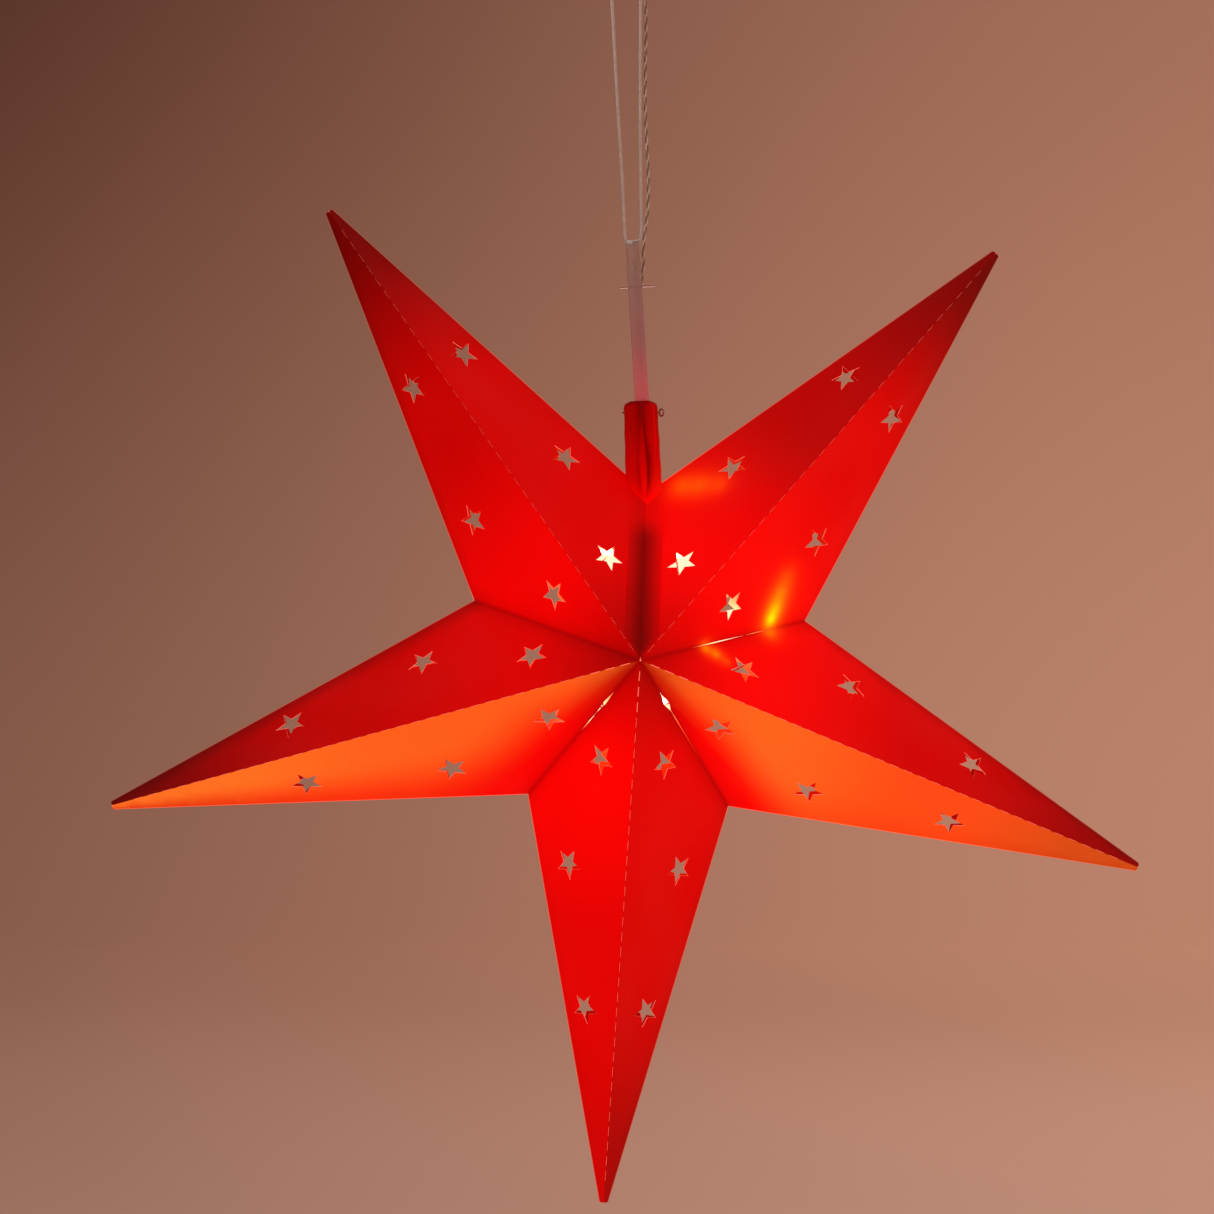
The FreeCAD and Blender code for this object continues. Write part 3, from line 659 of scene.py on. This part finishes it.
# A pair of wires: their distance from its middle, one turn of the twist, and a wire's radius.
LEAD_TWIST = (0.5 * MM, 9 * MM, 0.4 * MM)
STRING_TWIST = (0.3 * MM, 6 * MM, 0.3 * MM)
LEAD_SIDES, STRING_SIDES, KNOT_SIDES = 8, 6, 10
STRING_ROUTE = [
    (3.1, 0, 98), (2.5, -3, 84), (-17.6, -24, 54.8), (-40, -18, 30), (-46, 0, -2), (-26, -18, -28),
    (12, -34, -27), (42, -20, -12), (72, -8, 4), (70, -10, 28), (46, -3, 66), (34, 0, 88), (24, -6, 86),
    (20, -14, 72), (21.2, -24, 53.3), (26, -8, 20), (18, 16, 4), (-6, 24, 24), (-26, 14, 0),
    (-14, 10, -40), (0, 4, -84), (10, -8, -60),
]
BULB_POINTS = [2, 4, 5, 6, 9, 11, 14, 17, 19, 20]
BULB_LIFT = 4.2
BULB_LENGTH = 7
BULB_RADIUS = 2
BULB_SIDES = 16
# Shares of the bulb's length, and of its greatest radius there.
BULB_PROFILE = [
    (0, 0.55), (0.04, 0.95), (0.12, 1), (0.16, 0.86), (0.2, 0.86), (0.7, 0.86), (0.82, 0.76),
    (0.92, 0.52), (0.98, 0.25), (1, 0.02),
]
FOLDED_DEPTH = 1  # how far inside the film the bulbs would lie with the star folded


def hanging_cord():
    """The loop of clear cord, through the strap's eye and over the hook, and its knot."""
    cord = nurbs_curve("hanging_cord_loop", CORD_ROUTE)
    cord.data.bevel_depth = CORD_RADIUS
    cord.data.bevel_resolution = 4
    cord.data.use_fill_caps = True
    cord.data.materials.append(clear_cord)
    finish_piece(cord, "hanger", "clear_cord", "hanging_cord")
    line = []
    for i in range(KNOT_STEPS):
        t = 2 * pi * i / KNOT_STEPS
        line.append(place(KNOT[0] + KNOT_WIDTH * (sin(t) + 2 * sin(2 * t)),
                          KNOT[1] + KNOT_DEPTH * (cos(t) - 2 * cos(2 * t)),
                          KNOT[2] + KNOT_HEIGHT * sin(3 * t)))
    vertices, faces = tube_mesh(line, CORD_RADIUS * 1.05, KNOT_SIDES, closed=True)
    knot = mesh_object("cord_knot_turns", vertices, faces, [clear_cord])
    finish_piece(knot, "hanger", "clear_cord", "cord_knot")


def lead():
    """The lead's two twisted wires, from the battery box down through the neck."""
    line = nurbs_line(LEAD_UPPER + LEAD_LOWER)
    vertices, faces = strands(line, 2, *LEAD_TWIST, LEAD_SIDES)
    half = len(faces) // 2
    faces = [(f, i // half) for i, f in enumerate(faces)]
    pair = mesh_object("lead_pair", vertices, faces, [lead_skin, lead_dark])
    finish_piece(pair, None, "lead_wire", "lead_upper", "lead_lower")
    start, end = (place(*point) for point in LEAD_BEND)
    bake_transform(pair)
    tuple(start)
    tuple(end)
    place(*LEAD_LOWER[-1])


FOLD_ANCHOR = Panel(*FIXED_PANEL)


def led_bulb(name, index):
    """One clear bulb. It rides the panel nearest to it."""
    before, after = Vector(STRING_ROUTE[index - 1]), Vector(STRING_ROUTE[index + 1])
    heading = after - before
    heading.z = 0
    heading.normalize()
    x, y, z = STRING_ROUTE[index]
    base = place(x, y, z + BULB_LIFT) - heading * BULB_LENGTH / 2 * MM
    tip = base + heading * BULB_LENGTH * MM
    line = [base.lerp(tip, share) for share, _ in BULB_PROFILE]
    vertices, faces = tube_mesh(line, BULB_RADIUS * MM, BULB_SIDES)
    for k, (_, width) in enumerate(BULB_PROFILE):
        for j in range(k * BULB_SIDES, (k + 1) * BULB_SIDES):
            vertices[j] = line[k] + (vertices[j] - line[k]) * width
    bulb = mesh_object(name, vertices, faces, [bulb_lit])
    panel = panel_at(x, z, FRONT if y <= 0 else BACK)
    finish_piece(bulb, panel.body, "led_epoxy", "led_bulbs")
    anchor = place(*panel.solid(0, 0, -FOLDED_DEPTH))
    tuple(panel.normal)
    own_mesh(bulb)
    return bulb


def led_string():
    """The string of LEDs inside the star: two fine wires twisted together, and the bulbs."""
    line = nurbs_line(STRING_ROUTE)
    wire = mesh_object("led_wire_pair", *strands(line, 2, *STRING_TWIST, STRING_SIDES), [lead_skin])
    finish_piece(wire, "star", "lead_wire", "led_wire")
    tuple(FOLD_ANCHOR.normal)
    place(*FOLD_ANCHOR.apex)
    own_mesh(wire)
    bulbs = [led_bulb("led_bulb_lit_%d" % (n + 1), i) for n, i in enumerate(BULB_POINTS)]
    place(*STRING_ROUTE[0])


hanging_cord()
lead()
led_string()


# ---- film panels ----
# How brightly the front film glows near the middle, halfway and at the tip.
GLOW = {
    (1, LEFT): (0.88, 0.56, 0.15), (1, RIGHT): (0.67, 0.59, 0.15),
    (2, LEFT): (0.92, 0.47, 0.2), (2, RIGHT): (0.98, 0.72, 0.13),
    (3, LEFT): (0.92, 0.62, 0.27), (3, RIGHT): (0.98, 0.95, 0.52),
    (4, LEFT): (0.73, 0.64, 0.37), (4, RIGHT): (0.98, 0.76, 0.62),
    (5, LEFT): (0.94, 0.9, 0.72), (5, RIGHT): (0.66, 0.5, 0.16),
}
BACK_GLOW = (0.66, 0.5, 0.22)
GLOW_AT = (66, 165, 290)
AMBIENT = 0.1  # what the studio light adds to the film's own glow
# Soft steps, as between() takes them: from, to, and the value before and after.
MIDDLE_SHADE = (0, 62, 0.58, 1)
VALLEY_SHADE = (0, 9, 0.8, 1)
# Painted shade along the outer edges: how wide, and the share of the glow that is left.
DARK_EDGES = {
    (5, RIGHT): (11, 0.55), (3, LEFT): (5, 0.65), (1, LEFT): (5, 0.78), (4, LEFT): (7, 0.85),
    (1, RIGHT): (4, 0.85), (4, RIGHT): (5, 0.9), (2, RIGHT): (4, 0.9),
}
NO_EDGE = (1, 1)
# The two panels with a painted orange reflection of a warm light from below: where the valley's shadow on it
# begins and ends, and how strong it is by the distance from a radius and by the share of the way from the
# ridge to the outer edge.
REFLECTION_FROM_VALLEY = {(3, RIGHT): (7, 26), (5, LEFT): (8, 34)}
REFLECTION_ALONG = {(3, RIGHT): (80, (0, 90, 1, 0.56)), (5, LEFT): (0, (120, 250, 1, 1.5))}
REFLECTION_ACROSS = {(3, RIGHT): (0.6, 1, 1, 0.75), (5, LEFT): (0.35, 1, 0.86, 0.18)}
REFLECTION_LEVEL = 0.22  # how much brighter the film is where the painted reflection falls
# Where the front's valleys stand open: the radii where a slit starts, is widest and ends, and half its width.
OPEN_VALLEYS = {
    (1, 2): [(68, 73, 78, 0.5)],
    (2, 3): [(29, 42, 60, 0.35), (60, 68, 80, 0.25)],
    (3, 4): [(21, 27, 33, 1.6), (33, 38, 68, 0.3)],
    (4, 5): [(22, 29, 37, 0.8), (37, 42, 50, 0.25)],
}
SLIT_START, SLIT_END = 6, 8  # the perforation's distances from the apex and from the tip
SLIT_CORNER = 0.3
EDGE_STEPS, VALLEY_STEPS = 26, 48
TURNED = 0.1  # the most that a punched star is turned, in radians
WAVE_FADE = 18
PUNCH = random.Random(7)


def opening(slits, radius):
    """Half the width of the slit at this distance from the middle."""
    for start, widest, end, width in slits:
        if start < radius < end:
            share = (radius - start) / (widest - start)
            if radius >= widest:
                share = (end - radius) / (end - widest)
            return width * smooth(share)
    return 0.0


def panel_outline(panel):
    """The panel's corners as (p, q, the kind of edge there)."""
    number = panel.number
    front = panel.face == FRONT
    end = panel.tip_p * CUT_TIP_RADIUS / SHARP_TIP_RADIUS
    reach = panel.tip_p - panel.valley_p
    points = [(APEX_HOLE * 1.6, 0.0, "ridge")]
    start = SLIT_START if front else SLIT_START + SLIT_PITCH / 2
    while start + SLIT_LENGTH < end - SLIT_END:
        width = SLIT_HALF_WIDTH[number]
        if front and number > 2 and start < SLIT_APEX_REACH:
            width = SLIT_AT_APEX
        stop = start + SLIT_LENGTH
        points += [(start, 0.0, "ridge"), (start + SLIT_CORNER, width, "slit"),
                   (stop - SLIT_CORNER, width, "slit"), (stop, 0.0, "ridge")]
        start += SLIT_PITCH
    points += [(end - 1.2, 0.0, "ridge"), (end, 0.5, "tip")]
    tip_share = (panel.tip_p - end) / reach
    for i in range(EDGE_STEPS):
        share = tip_share + (1 - tip_share) * i / EDGE_STEPS
        points.append((panel.tip_p - reach * share, panel.valley_q * share, "side"))
    pair = (number, number + 1) if panel.side == RIGHT else (number - 1, number)
    slits = OPEN_VALLEYS.get(pair, []) if front else []
    length = hypot(panel.valley_p, panel.valley_q)
    for i in range(VALLEY_STEPS + 1):
        share = 1.0 - (1.0 - APEX_HOLE / length) * i / VALLEY_STEPS
        width = opening(slits, VALLEY_RADIUS * share)
        p = panel.valley_p * share + width * panel.valley_q / length
        q = panel.valley_q * share - width * panel.valley_p / length
        points.append((p, q, "slit" if width else "valley"))
    return points


def punched_star(panel, radius, angle):
    """Corners of a punched star, with one arm towards the panel's tip, turned a little."""
    seen = in_plane(radius, panel.ridge + panel.side * angle)
    middle = panel.seen(seen.x, seen.z)
    heading = atan2(-middle[1], panel.tip_p - middle[0]) + PUNCH.uniform(-TURNED, TURNED)
    corners = []
    for i in range(2 * POINTS):
        r = STAR_HOLE if i % 2 == 0 else STAR_HOLE * STAR_HOLE_INNER
        a = heading + pi * i / POINTS
        corners.append((middle[0] + r * cos(a), middle[1] + r * sin(a)))
    return corners


def wave(panel, p, q):
    """Height of the film's waves, which fade out at its creases."""
    near = max(0.0, min(panel.distances(p, q)))
    seed = panel.number * 1.3 + panel.side * 0.7 + panel.face * 2.1
    shape = sin(p * 0.035 + seed) * cos(q * 0.06 + seed * 1.7)
    shape += 0.5 * sin(p * 0.07 - q * 0.05 + seed)
    return SWELL * smooth(near / WAVE_FADE) * shape


def panel_glow(panel, p, q):
    """(level, painted orange reflection) of the film's glow at a flat place."""
    point = panel.solid(p, q)
    radius = hypot(point.x, point.z)
    _, from_valley, from_edge = panel.distances(p, q)
    key = (panel.number, panel.side)
    near, mid, tip = GLOW[key] if panel.face == FRONT else BACK_GLOW
    if radius < GLOW_AT[1]:
        level = between(radius, GLOW_AT[0], GLOW_AT[1], near, mid)
    else:
        level = between(radius, GLOW_AT[1], GLOW_AT[2], mid, tip)
    level *= between(radius, *MIDDLE_SHADE) * between(from_valley, *VALLEY_SHADE)
    if panel.face == BACK:
        return max(0.0, level - AMBIENT), 0.0
    width, left_over = DARK_EDGES.get(key, NO_EDGE)
    level *= between(from_edge, 0.0, width, left_over, 1.0)
    if key not in REFLECTION_FROM_VALLEY:
        return max(0.0, level - AMBIENT), 0.0
    low, high = REFLECTION_FROM_VALLEY[key]
    slant = from_valley / (1 + 0.006 * radius)
    # The painted orange reflection of a warm light from below, with the valley's shadow on it.
    warm = smooth((slant - low * min(1.0, radius / 60.0)) / (high - low) / min(1.0, 0.25 + radius / 95.0))
    reflection_peak, along = REFLECTION_ALONG[key]
    warm *= between(abs(radius - reflection_peak), *along) * between(q / (q + from_edge + 1e-6), *REFLECTION_ACROSS[key])
    return max(0.0, level - AMBIENT) + REFLECTION_LEVEL * warm, warm


def build_panel(panel):
    """One panel, punched, perforated along its ridge, and mitred to meet its neighbours."""
    outline = panel_outline(panel)
    loops = [[(p, q) for p, q, _ in outline]]
    beside_closure = (panel.number, panel.side) in CLOSING_PANELS
    for i, (radius, angle) in enumerate(STAR_HOLES):
        star = punched_star(panel, radius, angle)
        if i > 0 or panel.face == FRONT or not beside_closure:
            loops.append(star)
    points, triangles, sources = cut_sheet(loops, GRID)
    drops = {kind: panel.mitre(kind) for kind in panel.planes}
    straight = -panel.normal * FILM
    outer, inner, glows, creases = [], [], [], []
    for (p, q), source in zip(points, sources):
        kind = outline[source][2] if 0 <= source < len(outline) else ""
        at = panel.solid(p, q, wave(panel, p, q))
        outer.append(at)
        inner.append(at + drops.get(kind, straight))
        glows.append(panel_glow(panel, p, q))
        creases.append(panel.distances(p, q))
    levels, warm_reflections = ([glow[k] for glow in glows] for k in (0, 1))
    film_piece(panel.name, panel.body, (outer, inner), triangles, panel.normal, FILM_SET, levels, warm_reflections,
               creases)


for number in sorted(RIDGES):
    for face in (FRONT, BACK):
        for side in (LEFT, RIGHT):
            build_panel(Panel(number, side, face))

# ---- closure ----
HEM_WIDTH = 9.2  # doubled film along the closing edges
HEM_START = 1.2
HEM_RIDGE_SIDE = 1.2
HEM_GAP = 0.03
HEM_SIDE_GAP = 1.6  # how far from the mid-plane the hems stop, for the lead
HEM_SHEET = 0.45
HEM_LIFT = 0.05
HEM_STEPS = 60
# The doubled film's shade at the closing plane, what two soft steps away from it add, and under the neck.
HEM_DARKEST = 0.26
HEM_LIGHTER = [(0, 3, 0, 0.12), (2.2, 8.2, 0, 0.28)]
HEM_LIGHT_END = (69, 80, 0, 1)
HEM_LIGHTEST = 0.92
HEM_OPEN = [(70, 74, 77.5, 0.55), (78, 84, 90, 0.22)]
HEM_GRID = 3


def hem(number, side, face):
    """The doubled strip on a panel's outside, up to the plane where the star closes."""
    panel = Panel(number, side, face)
    slope = tan(radians((UNIT_ANGLE + CLOSURE_GAP) / 2))
    fold = HEM_WIDTH * hypot(1, slope)
    edge = HEM_GAP * hypot(1, slope)
    ridge = in_plane(1, panel.ridge)
    sideways = in_plane(1, panel.ridge + 90 * side)

    def flat(u, v):
        """The flat place at u along the ridge and v beside it, as seen from the front."""
        seen = ridge * u + sideways * v
        return panel.seen(seen.x, seen.z)

    def stop(low, high):
        """Between two such places, the last one clear of the mid-plane."""
        share = 1.0
        depth_low, depth_high = (abs(panel.solid(*flat(u, v)).y) for u, v in (low, high))
        if depth_high < HEM_SIDE_GAP:
            share = (depth_low - HEM_SIDE_GAP) / (depth_low - depth_high)
        return tuple(a + (b - a) * share for a, b in zip(low, high))

    fold_start = ((HEM_RIDGE_SIDE + fold) / slope, HEM_RIDGE_SIDE)
    corner_u = VALLEY_RADIUS * cos(radians((UNIT_ANGLE + CLOSURE_GAP) / 2))
    fold_end = stop(fold_start, (corner_u, corner_u * slope - fold))
    closing_start = (HEM_START, HEM_START * slope - edge)
    closing_end = stop(closing_start, (corner_u, corner_u * slope - edge))
    outline = [(HEM_START, 0.3), (2.4 * HEM_START, HEM_RIDGE_SIDE), fold_start, fold_end]
    slits = HEM_OPEN if face == FRONT else []
    for i in range(HEM_STEPS + 1):
        share = 1 - i / HEM_STEPS
        u, v = (a + (b - a) * share for a, b in zip(closing_start, closing_end))
        outline.append((u, v - opening(slits, hypot(u, v))))
    points, triangles, _ = cut_sheet([[flat(u, v) for u, v in outline]], HEM_GRID)
    skins = [[panel.solid(p, q, lift) for p, q in points] for lift in (HEM_LIFT + HEM_SHEET, HEM_LIFT)]
    closing = in_plane(1, CLOSURE + 90)
    levels = []
    for p, q in points:
        point = panel.solid(p, q)
        away = abs(point.dot(closing))
        dark = HEM_DARKEST + sum(between(away, *step) for step in HEM_LIGHTER)
        light = dark + (HEM_LIGHTEST - dark) * between(point.length, *HEM_LIGHT_END)
        level = (panel_glow(panel, p, q)[0] + AMBIENT) * light
        levels.append(max(0.0, level - 0.5 * AMBIENT))
    name = "closure_hem_%d_%s" % (number, panel.face_name)
    film_piece(name, panel.body, skins, triangles, panel.normal, DOUBLED_SET, levels)


for number, side in CLOSING_PANELS:
    for face in (FRONT, BACK):
        hem(number, side, face)

# ---- neck ----
NECK_FOOT = Vector((4.4, 0, 85.1))
NECK_LENGTH = 57.5
NECK_BOTTOM, NECK_TOP = 10.4, 9.4  # half the neck's width
NECK_DEPTH = 6  # half the neck's depth
NECK_WALL = 0.6
NECK_CORNER = 3.4
NECK_LEAN = 2.3  # degrees to the left, going up
NECK_SEAM = 0.05
NECK_ROUND = 0.62  # how squarely the leaves are folded: 1 is an ellipse
NECK_STAND = 0.6  # how far the leaves stand off the panels
NECK_GRID = 2.2
NECK_STEPS = 28
NECK_RIPPLE = 0.25
FOOT_RANGE = (-6, 30)
FOOT_STEPS = 24
EYELET = (-3.6, 127.5, 1.6)
EYELET_STEPS = 16
SLEEVE_SHADOW = (4.8, 106, 4.2, 17)  # its middle, and how far it reaches sideways and up
# The leaves' glow, as soft steps over the share of the height, the shadow's reach, the turn from the seam or
# millimetres from the top.
NECK_GLOW = {-1: 0.5, 1: 0.6}
UPWARD = (0, 1 / 1.05, 1, 0.5)
AT_FOOT = (0, 0.3, 0.35, 0)
AT_SLEEVE = (0.45, 1.1, 0.22, 1)
AT_SIDE = (0, 0.2, 0.6, 1)
AT_SEAM = (0, 0.07, 0.45, 0)
AT_TOP = (0, 2.8, 0.25, 1)
SHINE = (0, 0.04, 0.2, 0)
SHINE_TURN = 0.2
SHINE_START = (0.45, 0.65, 0, 1)


def leaning(x, y, z, lean):
    """A point turned by this angle to the left, as seen from the front."""
    return Vector((x * cos(lean) - z * sin(lean), y, z * cos(lean) + x * sin(lean)))


def neck_width(height):
    """Half the neck's width at this height."""
    return NECK_BOTTOM + (NECK_TOP - NECK_BOTTOM) * height / NECK_LENGTH


def neck_leaf(name, side, body):
    """One leaf of the neck: a rounded channel that stands on the panels beside the closure."""
    lean = radians(NECK_LEAN)
    number, panel_side = CLOSING_PANELS[0 if side < 0 else 1]
    floors = [Panel(number, panel_side, face) for face in (FRONT, BACK)]

    def shape(turn, height, inset):
        """The point at this turn from the front seam, from 0 to 1, and this height."""
        width = neck_width(height)
        below = NECK_LENGTH - height
        if below < NECK_CORNER:
            width -= NECK_CORNER - sqrt(max(0.0, NECK_CORNER ** 2 - (NECK_CORNER - below) ** 2))
        a = pi * turn
        x = max(NECK_SEAM, (width - inset) * abs(sin(a)) ** NECK_ROUND)
        y = -(NECK_DEPTH - inset) * copysign(abs(cos(a)) ** NECK_ROUND, cos(a))
        ripple = NECK_RIPPLE * sin(height * 0.21 + 2.0 * side) * sin(a) ** 2
        return NECK_FOOT + leaning(side * (x - abs(ripple)), y, height, lean)

    def foot(turn):
        """The lowest height at which the leaf is clear of its panel."""
        low, high = FOOT_RANGE
        for _ in range(FOOT_STEPS):
            middle = (low + high) / 2
            point = shape(turn, middle, 0.0)
            panel = floors[0] if point.y < 0 else floors[1]
            if (point - panel.apex).dot(panel.normal) < NECK_STAND:
                low = middle
            else:
                high = middle
        return high

    around = 2 * (NECK_BOTTOM + NECK_DEPTH)
    turns = [i / NECK_STEPS for i in range(NECK_STEPS + 1)]
    outline = [(turn * around, foot(turn)) for turn in turns]
    outline += [((1 - turn) * around, NECK_LENGTH) for turn in turns]
    loops = [outline]
    if side < 0:
        x, z, r = EYELET
        height = z - NECK_FOOT.z
        reach = NECK_FOOT.x - height * sin(lean) - x
        turn = asin((reach / neck_width(height)) ** (1 / NECK_ROUND)) / pi
        ring = [2 * pi * i / EYELET_STEPS for i in range(EYELET_STEPS)]
        loops.append([(turn * around + r * 0.55 * cos(a), height + r * sin(a)) for a in ring])
    points, triangles, _ = cut_sheet(loops, NECK_GRID)

    def from_side(triangle):
        """How far a triangle is from the middle of the leaf's side."""
        along, height = points[triangle[0]]
        return abs(along / around - 0.5) + abs(height - 30) / 60

    first = min(triangles, key=from_side)
    triangles = [first] + [t for t in triangles if t != first]
    skins = [[shape(s / around, h, inset) for s, h in points] for inset in (0.0, NECK_WALL)]
    outward = shape(0.5, NECK_LENGTH / 2, 0.0) - shape(0.5, NECK_LENGTH / 2, NECK_WALL)
    levels = []
    x, z, half_width, half_height = SLEEVE_SHADOW
    for (s, h), point in zip(points, skins[0]):
        turn, up = s / around, h / NECK_LENGTH
        off = hypot((point.x - x) / half_width, (point.z - z) / half_height)
        level = NECK_GLOW[side] * between(up, *UPWARD) + between(up, *AT_FOOT)
        level *= between(off, *AT_SLEEVE) * between(abs(turn - 0.5), *AT_SIDE)
        level *= 1 - between(turn, *AT_SEAM) * smooth(up / 0.2)
        level *= between(NECK_LENGTH - h, *AT_TOP)
        if side > 0:
            level += between(abs(turn - SHINE_TURN), *SHINE) * between(up, *SHINE_START)
        levels.append(max(0.0, level - 0.6 * AMBIENT))
    piece = film_piece(name, body, skins, triangles, outward, DOUBLED_SET, levels)
    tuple(floors[0].normal)
    place(*floors[0].apex)
    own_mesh(piece)


neck_leaf("neck_left_leaf", -1, "panel_1_front_right")
neck_leaf("neck_right_leaf", 1, "star")

# ---- strap ----
EYE = Vector((-2.2, 0, 226.7))
PIN_HEIGHT = 136.3
STRAP_LEAN = 3.5
STRAP_WIDTH = 7.7
EYE_WIDTH = 6.8
STRAP_SHEET = 0.9
EYE_RADIUS = 4
STRAP_LEG_GAP = 1.1
STRAP_SLACK = 0.5
STRAP_TAPER = 2.6  # how far below the eye its two legs meet, in eye radii
EYE_STEPS, TAPER_STEPS, LEG_STEPS, PIN_STEPS = 16, 6, 18, 8
EDGE_STEP = pi / 4  # the steps of its rounded edges
STRAP_ANGLE = 1.2


def hanging_strap():
    """One clear band, folded round the cord above and the closure pin below, with soft edges."""
    lean = radians(STRAP_LEAN)
    drop = (EYE.z - PIN_HEIGHT) / cos(lean) + STRAP_SLACK
    half = STRAP_SHEET / 2
    top, leg, reach = EYE_RADIUS + half, STRAP_LEG_GAP + half, STRAP_TAPER * EYE_RADIUS
    eye = [pi * i / EYE_STEPS for i in range(EYE_STEPS + 1)]
    pin = [pi * i / PIN_STEPS for i in range(1, PIN_STEPS)]
    down = [(-top + (top - leg) * smooth(i / TAPER_STEPS), -reach * i / TAPER_STEPS)
            for i in range(1, TAPER_STEPS + 1)]
    down += [(-leg, -reach - (drop - reach) * i / LEG_STEPS) for i in range(1, LEG_STEPS + 1)]
    line = [(top * cos(a), top * sin(a)) for a in eye] + down
    line += [(-leg * cos(a), -drop - leg * sin(a)) for a in pin]
    line += [(-y, z) for y, z in reversed(down)]
    section = []
    for side, start in ((1, 0.0), (-1, pi)):
        for i in range(-2, 3):
            a = start + EDGE_STEP * i * side
            section.append((cos(a), sin(a), side))
    count, size = len(line), len(section)
    vertices, faces, levels = [], [], []
    for i, (y, z) in enumerate(line):
        (y0, z0), (y1, z1) = line[i - 1], line[(i + 1) % count]
        length = hypot(y1 - y0, z1 - z0)
        out_y, out_z = (z1 - z0) / length, -(y1 - y0) / length
        width = between(z, -5.5, -9.5, EYE_WIDTH, STRAP_WIDTH)
        for across, out, side in section:
            x = side * (width / 2 - half) + across * half
            point = EYE + leaning(x, y + out * half * out_y, z + out * half * out_z, lean)
            vertices.append(place(*point))
            levels.append(smooth(-z / drop))
        faces += ring_faces(i * size, (i + 1) % count * size, size)
    strap = mesh_object("hanging_strap_band", vertices, faces, [clear_pvc], STRAP_ANGLE)
    set_attribute(strap, "level", levels)
    finish_piece(strap, "star", "clear_pvc", "hanging_strap")


hanging_strap()

# ---- carried-over CAD nodes, with their materials ----
CARRIED = {
    "closure_pin": steel, "strap_pin": clear_pin, "lead_sleeve": sleeve_black,
    "battery_box": box_plastic, "battery_door": box_plastic, "switch_slider": black_plastic,
    "battery_cells": cell_jacket, "battery_contacts": nickel,
}
for node, material in CARRIED.items():
    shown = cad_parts[node]
    shown.data.materials.clear()
    shown.data.materials.append(material)

# ---- studio ----
FLOOR_Z = place(0, 0, -470).z
FLOOR_RADIUS = 4.6
COVE_RADIUS = 1.4
COVE_STEPS = 12
WALL_TOP = 4
WALL_SIDES = 96
COVE_ANGLE = 3
# Painted light and shade on the paint by how far right and low it is, and its glow and colour from the
# deepest to the palest.
SHADE_RIGHT = (-1.7, 1.5, 0, 0.58)
SHADE_LOW = (-1, 1.2, 0.32, 0)
SHADE_CLOUDS = 0.08
COVE_GLOW = [(0.1, (0.04, 0.01, 0.005)), (0.9, (0.345, 0.148, 0.094))]
COVE_PAINT_AND_SHADE = [(0.1, (0.1, 0.055, 0.045)), (0.9, (0.44, 0.33, 0.28))]
LIGHTS = {
    "key": ((-1.6, -2, 0.6), 14, (1, 0.93, 0.86)),
    "fill": ((1.8, -1.6, -0.2), 6, (1, 0.95, 0.92)),
    "rim": ((0.6, 2.2, 0.9), 8, (1, 0.95, 0.92)),
}


def cove_material():
    """Plain studio paint, with painted light and shade: palest low and to the right."""
    n = Nodes("studio_paint")
    clouds = n.noise(*STUDIO_CLOUDS)
    where = n.add("SeparateXYZ", {"Vector": n.at}).outputs
    right, low = n.step(where["X"], *SHADE_RIGHT), n.step(where["Z"], *SHADE_LOW)
    shade = n.total([right, low, n.times(clouds, SHADE_CLOUDS)])
    return n.finish(n.ramp(shade, COVE_PAINT_AND_SHADE), n.plus(clouds, 0.3), n.ramp(shade, COVE_GLOW))


def cove():
    """A plain pale floor that curves up into a round wall."""
    profile = [(FLOOR_RADIUS, 0.0)]
    for i in range(1, COVE_STEPS + 1):
        a = pi / 2 * i / COVE_STEPS
        profile.append((FLOOR_RADIUS + COVE_RADIUS * sin(a), COVE_RADIUS * (1 - cos(a))))
    profile.append((FLOOR_RADIUS + COVE_RADIUS, WALL_TOP))
    vertices, faces = [], [tuple(range(WALL_SIDES))]
    for i, (radius, height) in enumerate(profile):
        for k in range(WALL_SIDES):
            a = 2 * pi * k / WALL_SIDES
            vertices.append(Vector((radius * cos(a), radius * sin(a), FLOOR_Z + height)))
        if i > 0:
            faces += ring_faces((i - 1) * WALL_SIDES, i * WALL_SIDES, WALL_SIDES)
    mesh_object("floor_cove", vertices, faces, [cove_material()], COVE_ANGLE)


def soft_light(name, location, power, colour):
    """A large soft lamp that shines at the star."""
    light = bpy.data.lights.new(name, "AREA")
    light.size = 1.4
    light.energy = power
    light.color = colour
    lamp = new_object(name, light)
    lamp.location = location
    lamp.rotation_euler = (place(0, 0, 0) - Vector(location)).to_track_quat("-Z", "Y").to_euler()
    lamp.visible_camera = False


world = bpy.data.worlds.new("studio")
world.use_nodes = True
sky = world.node_tree.nodes["Background"].inputs
sky["Color"].default_value = (1.0, 0.86, 0.76, 1.0)
sky["Strength"].default_value = 0.30
scene.world = world
scene.view_settings.view_transform = "Standard"
cove()
for name, (location, power, colour) in LIGHTS.items():
    soft_light(name, location, power, colour)
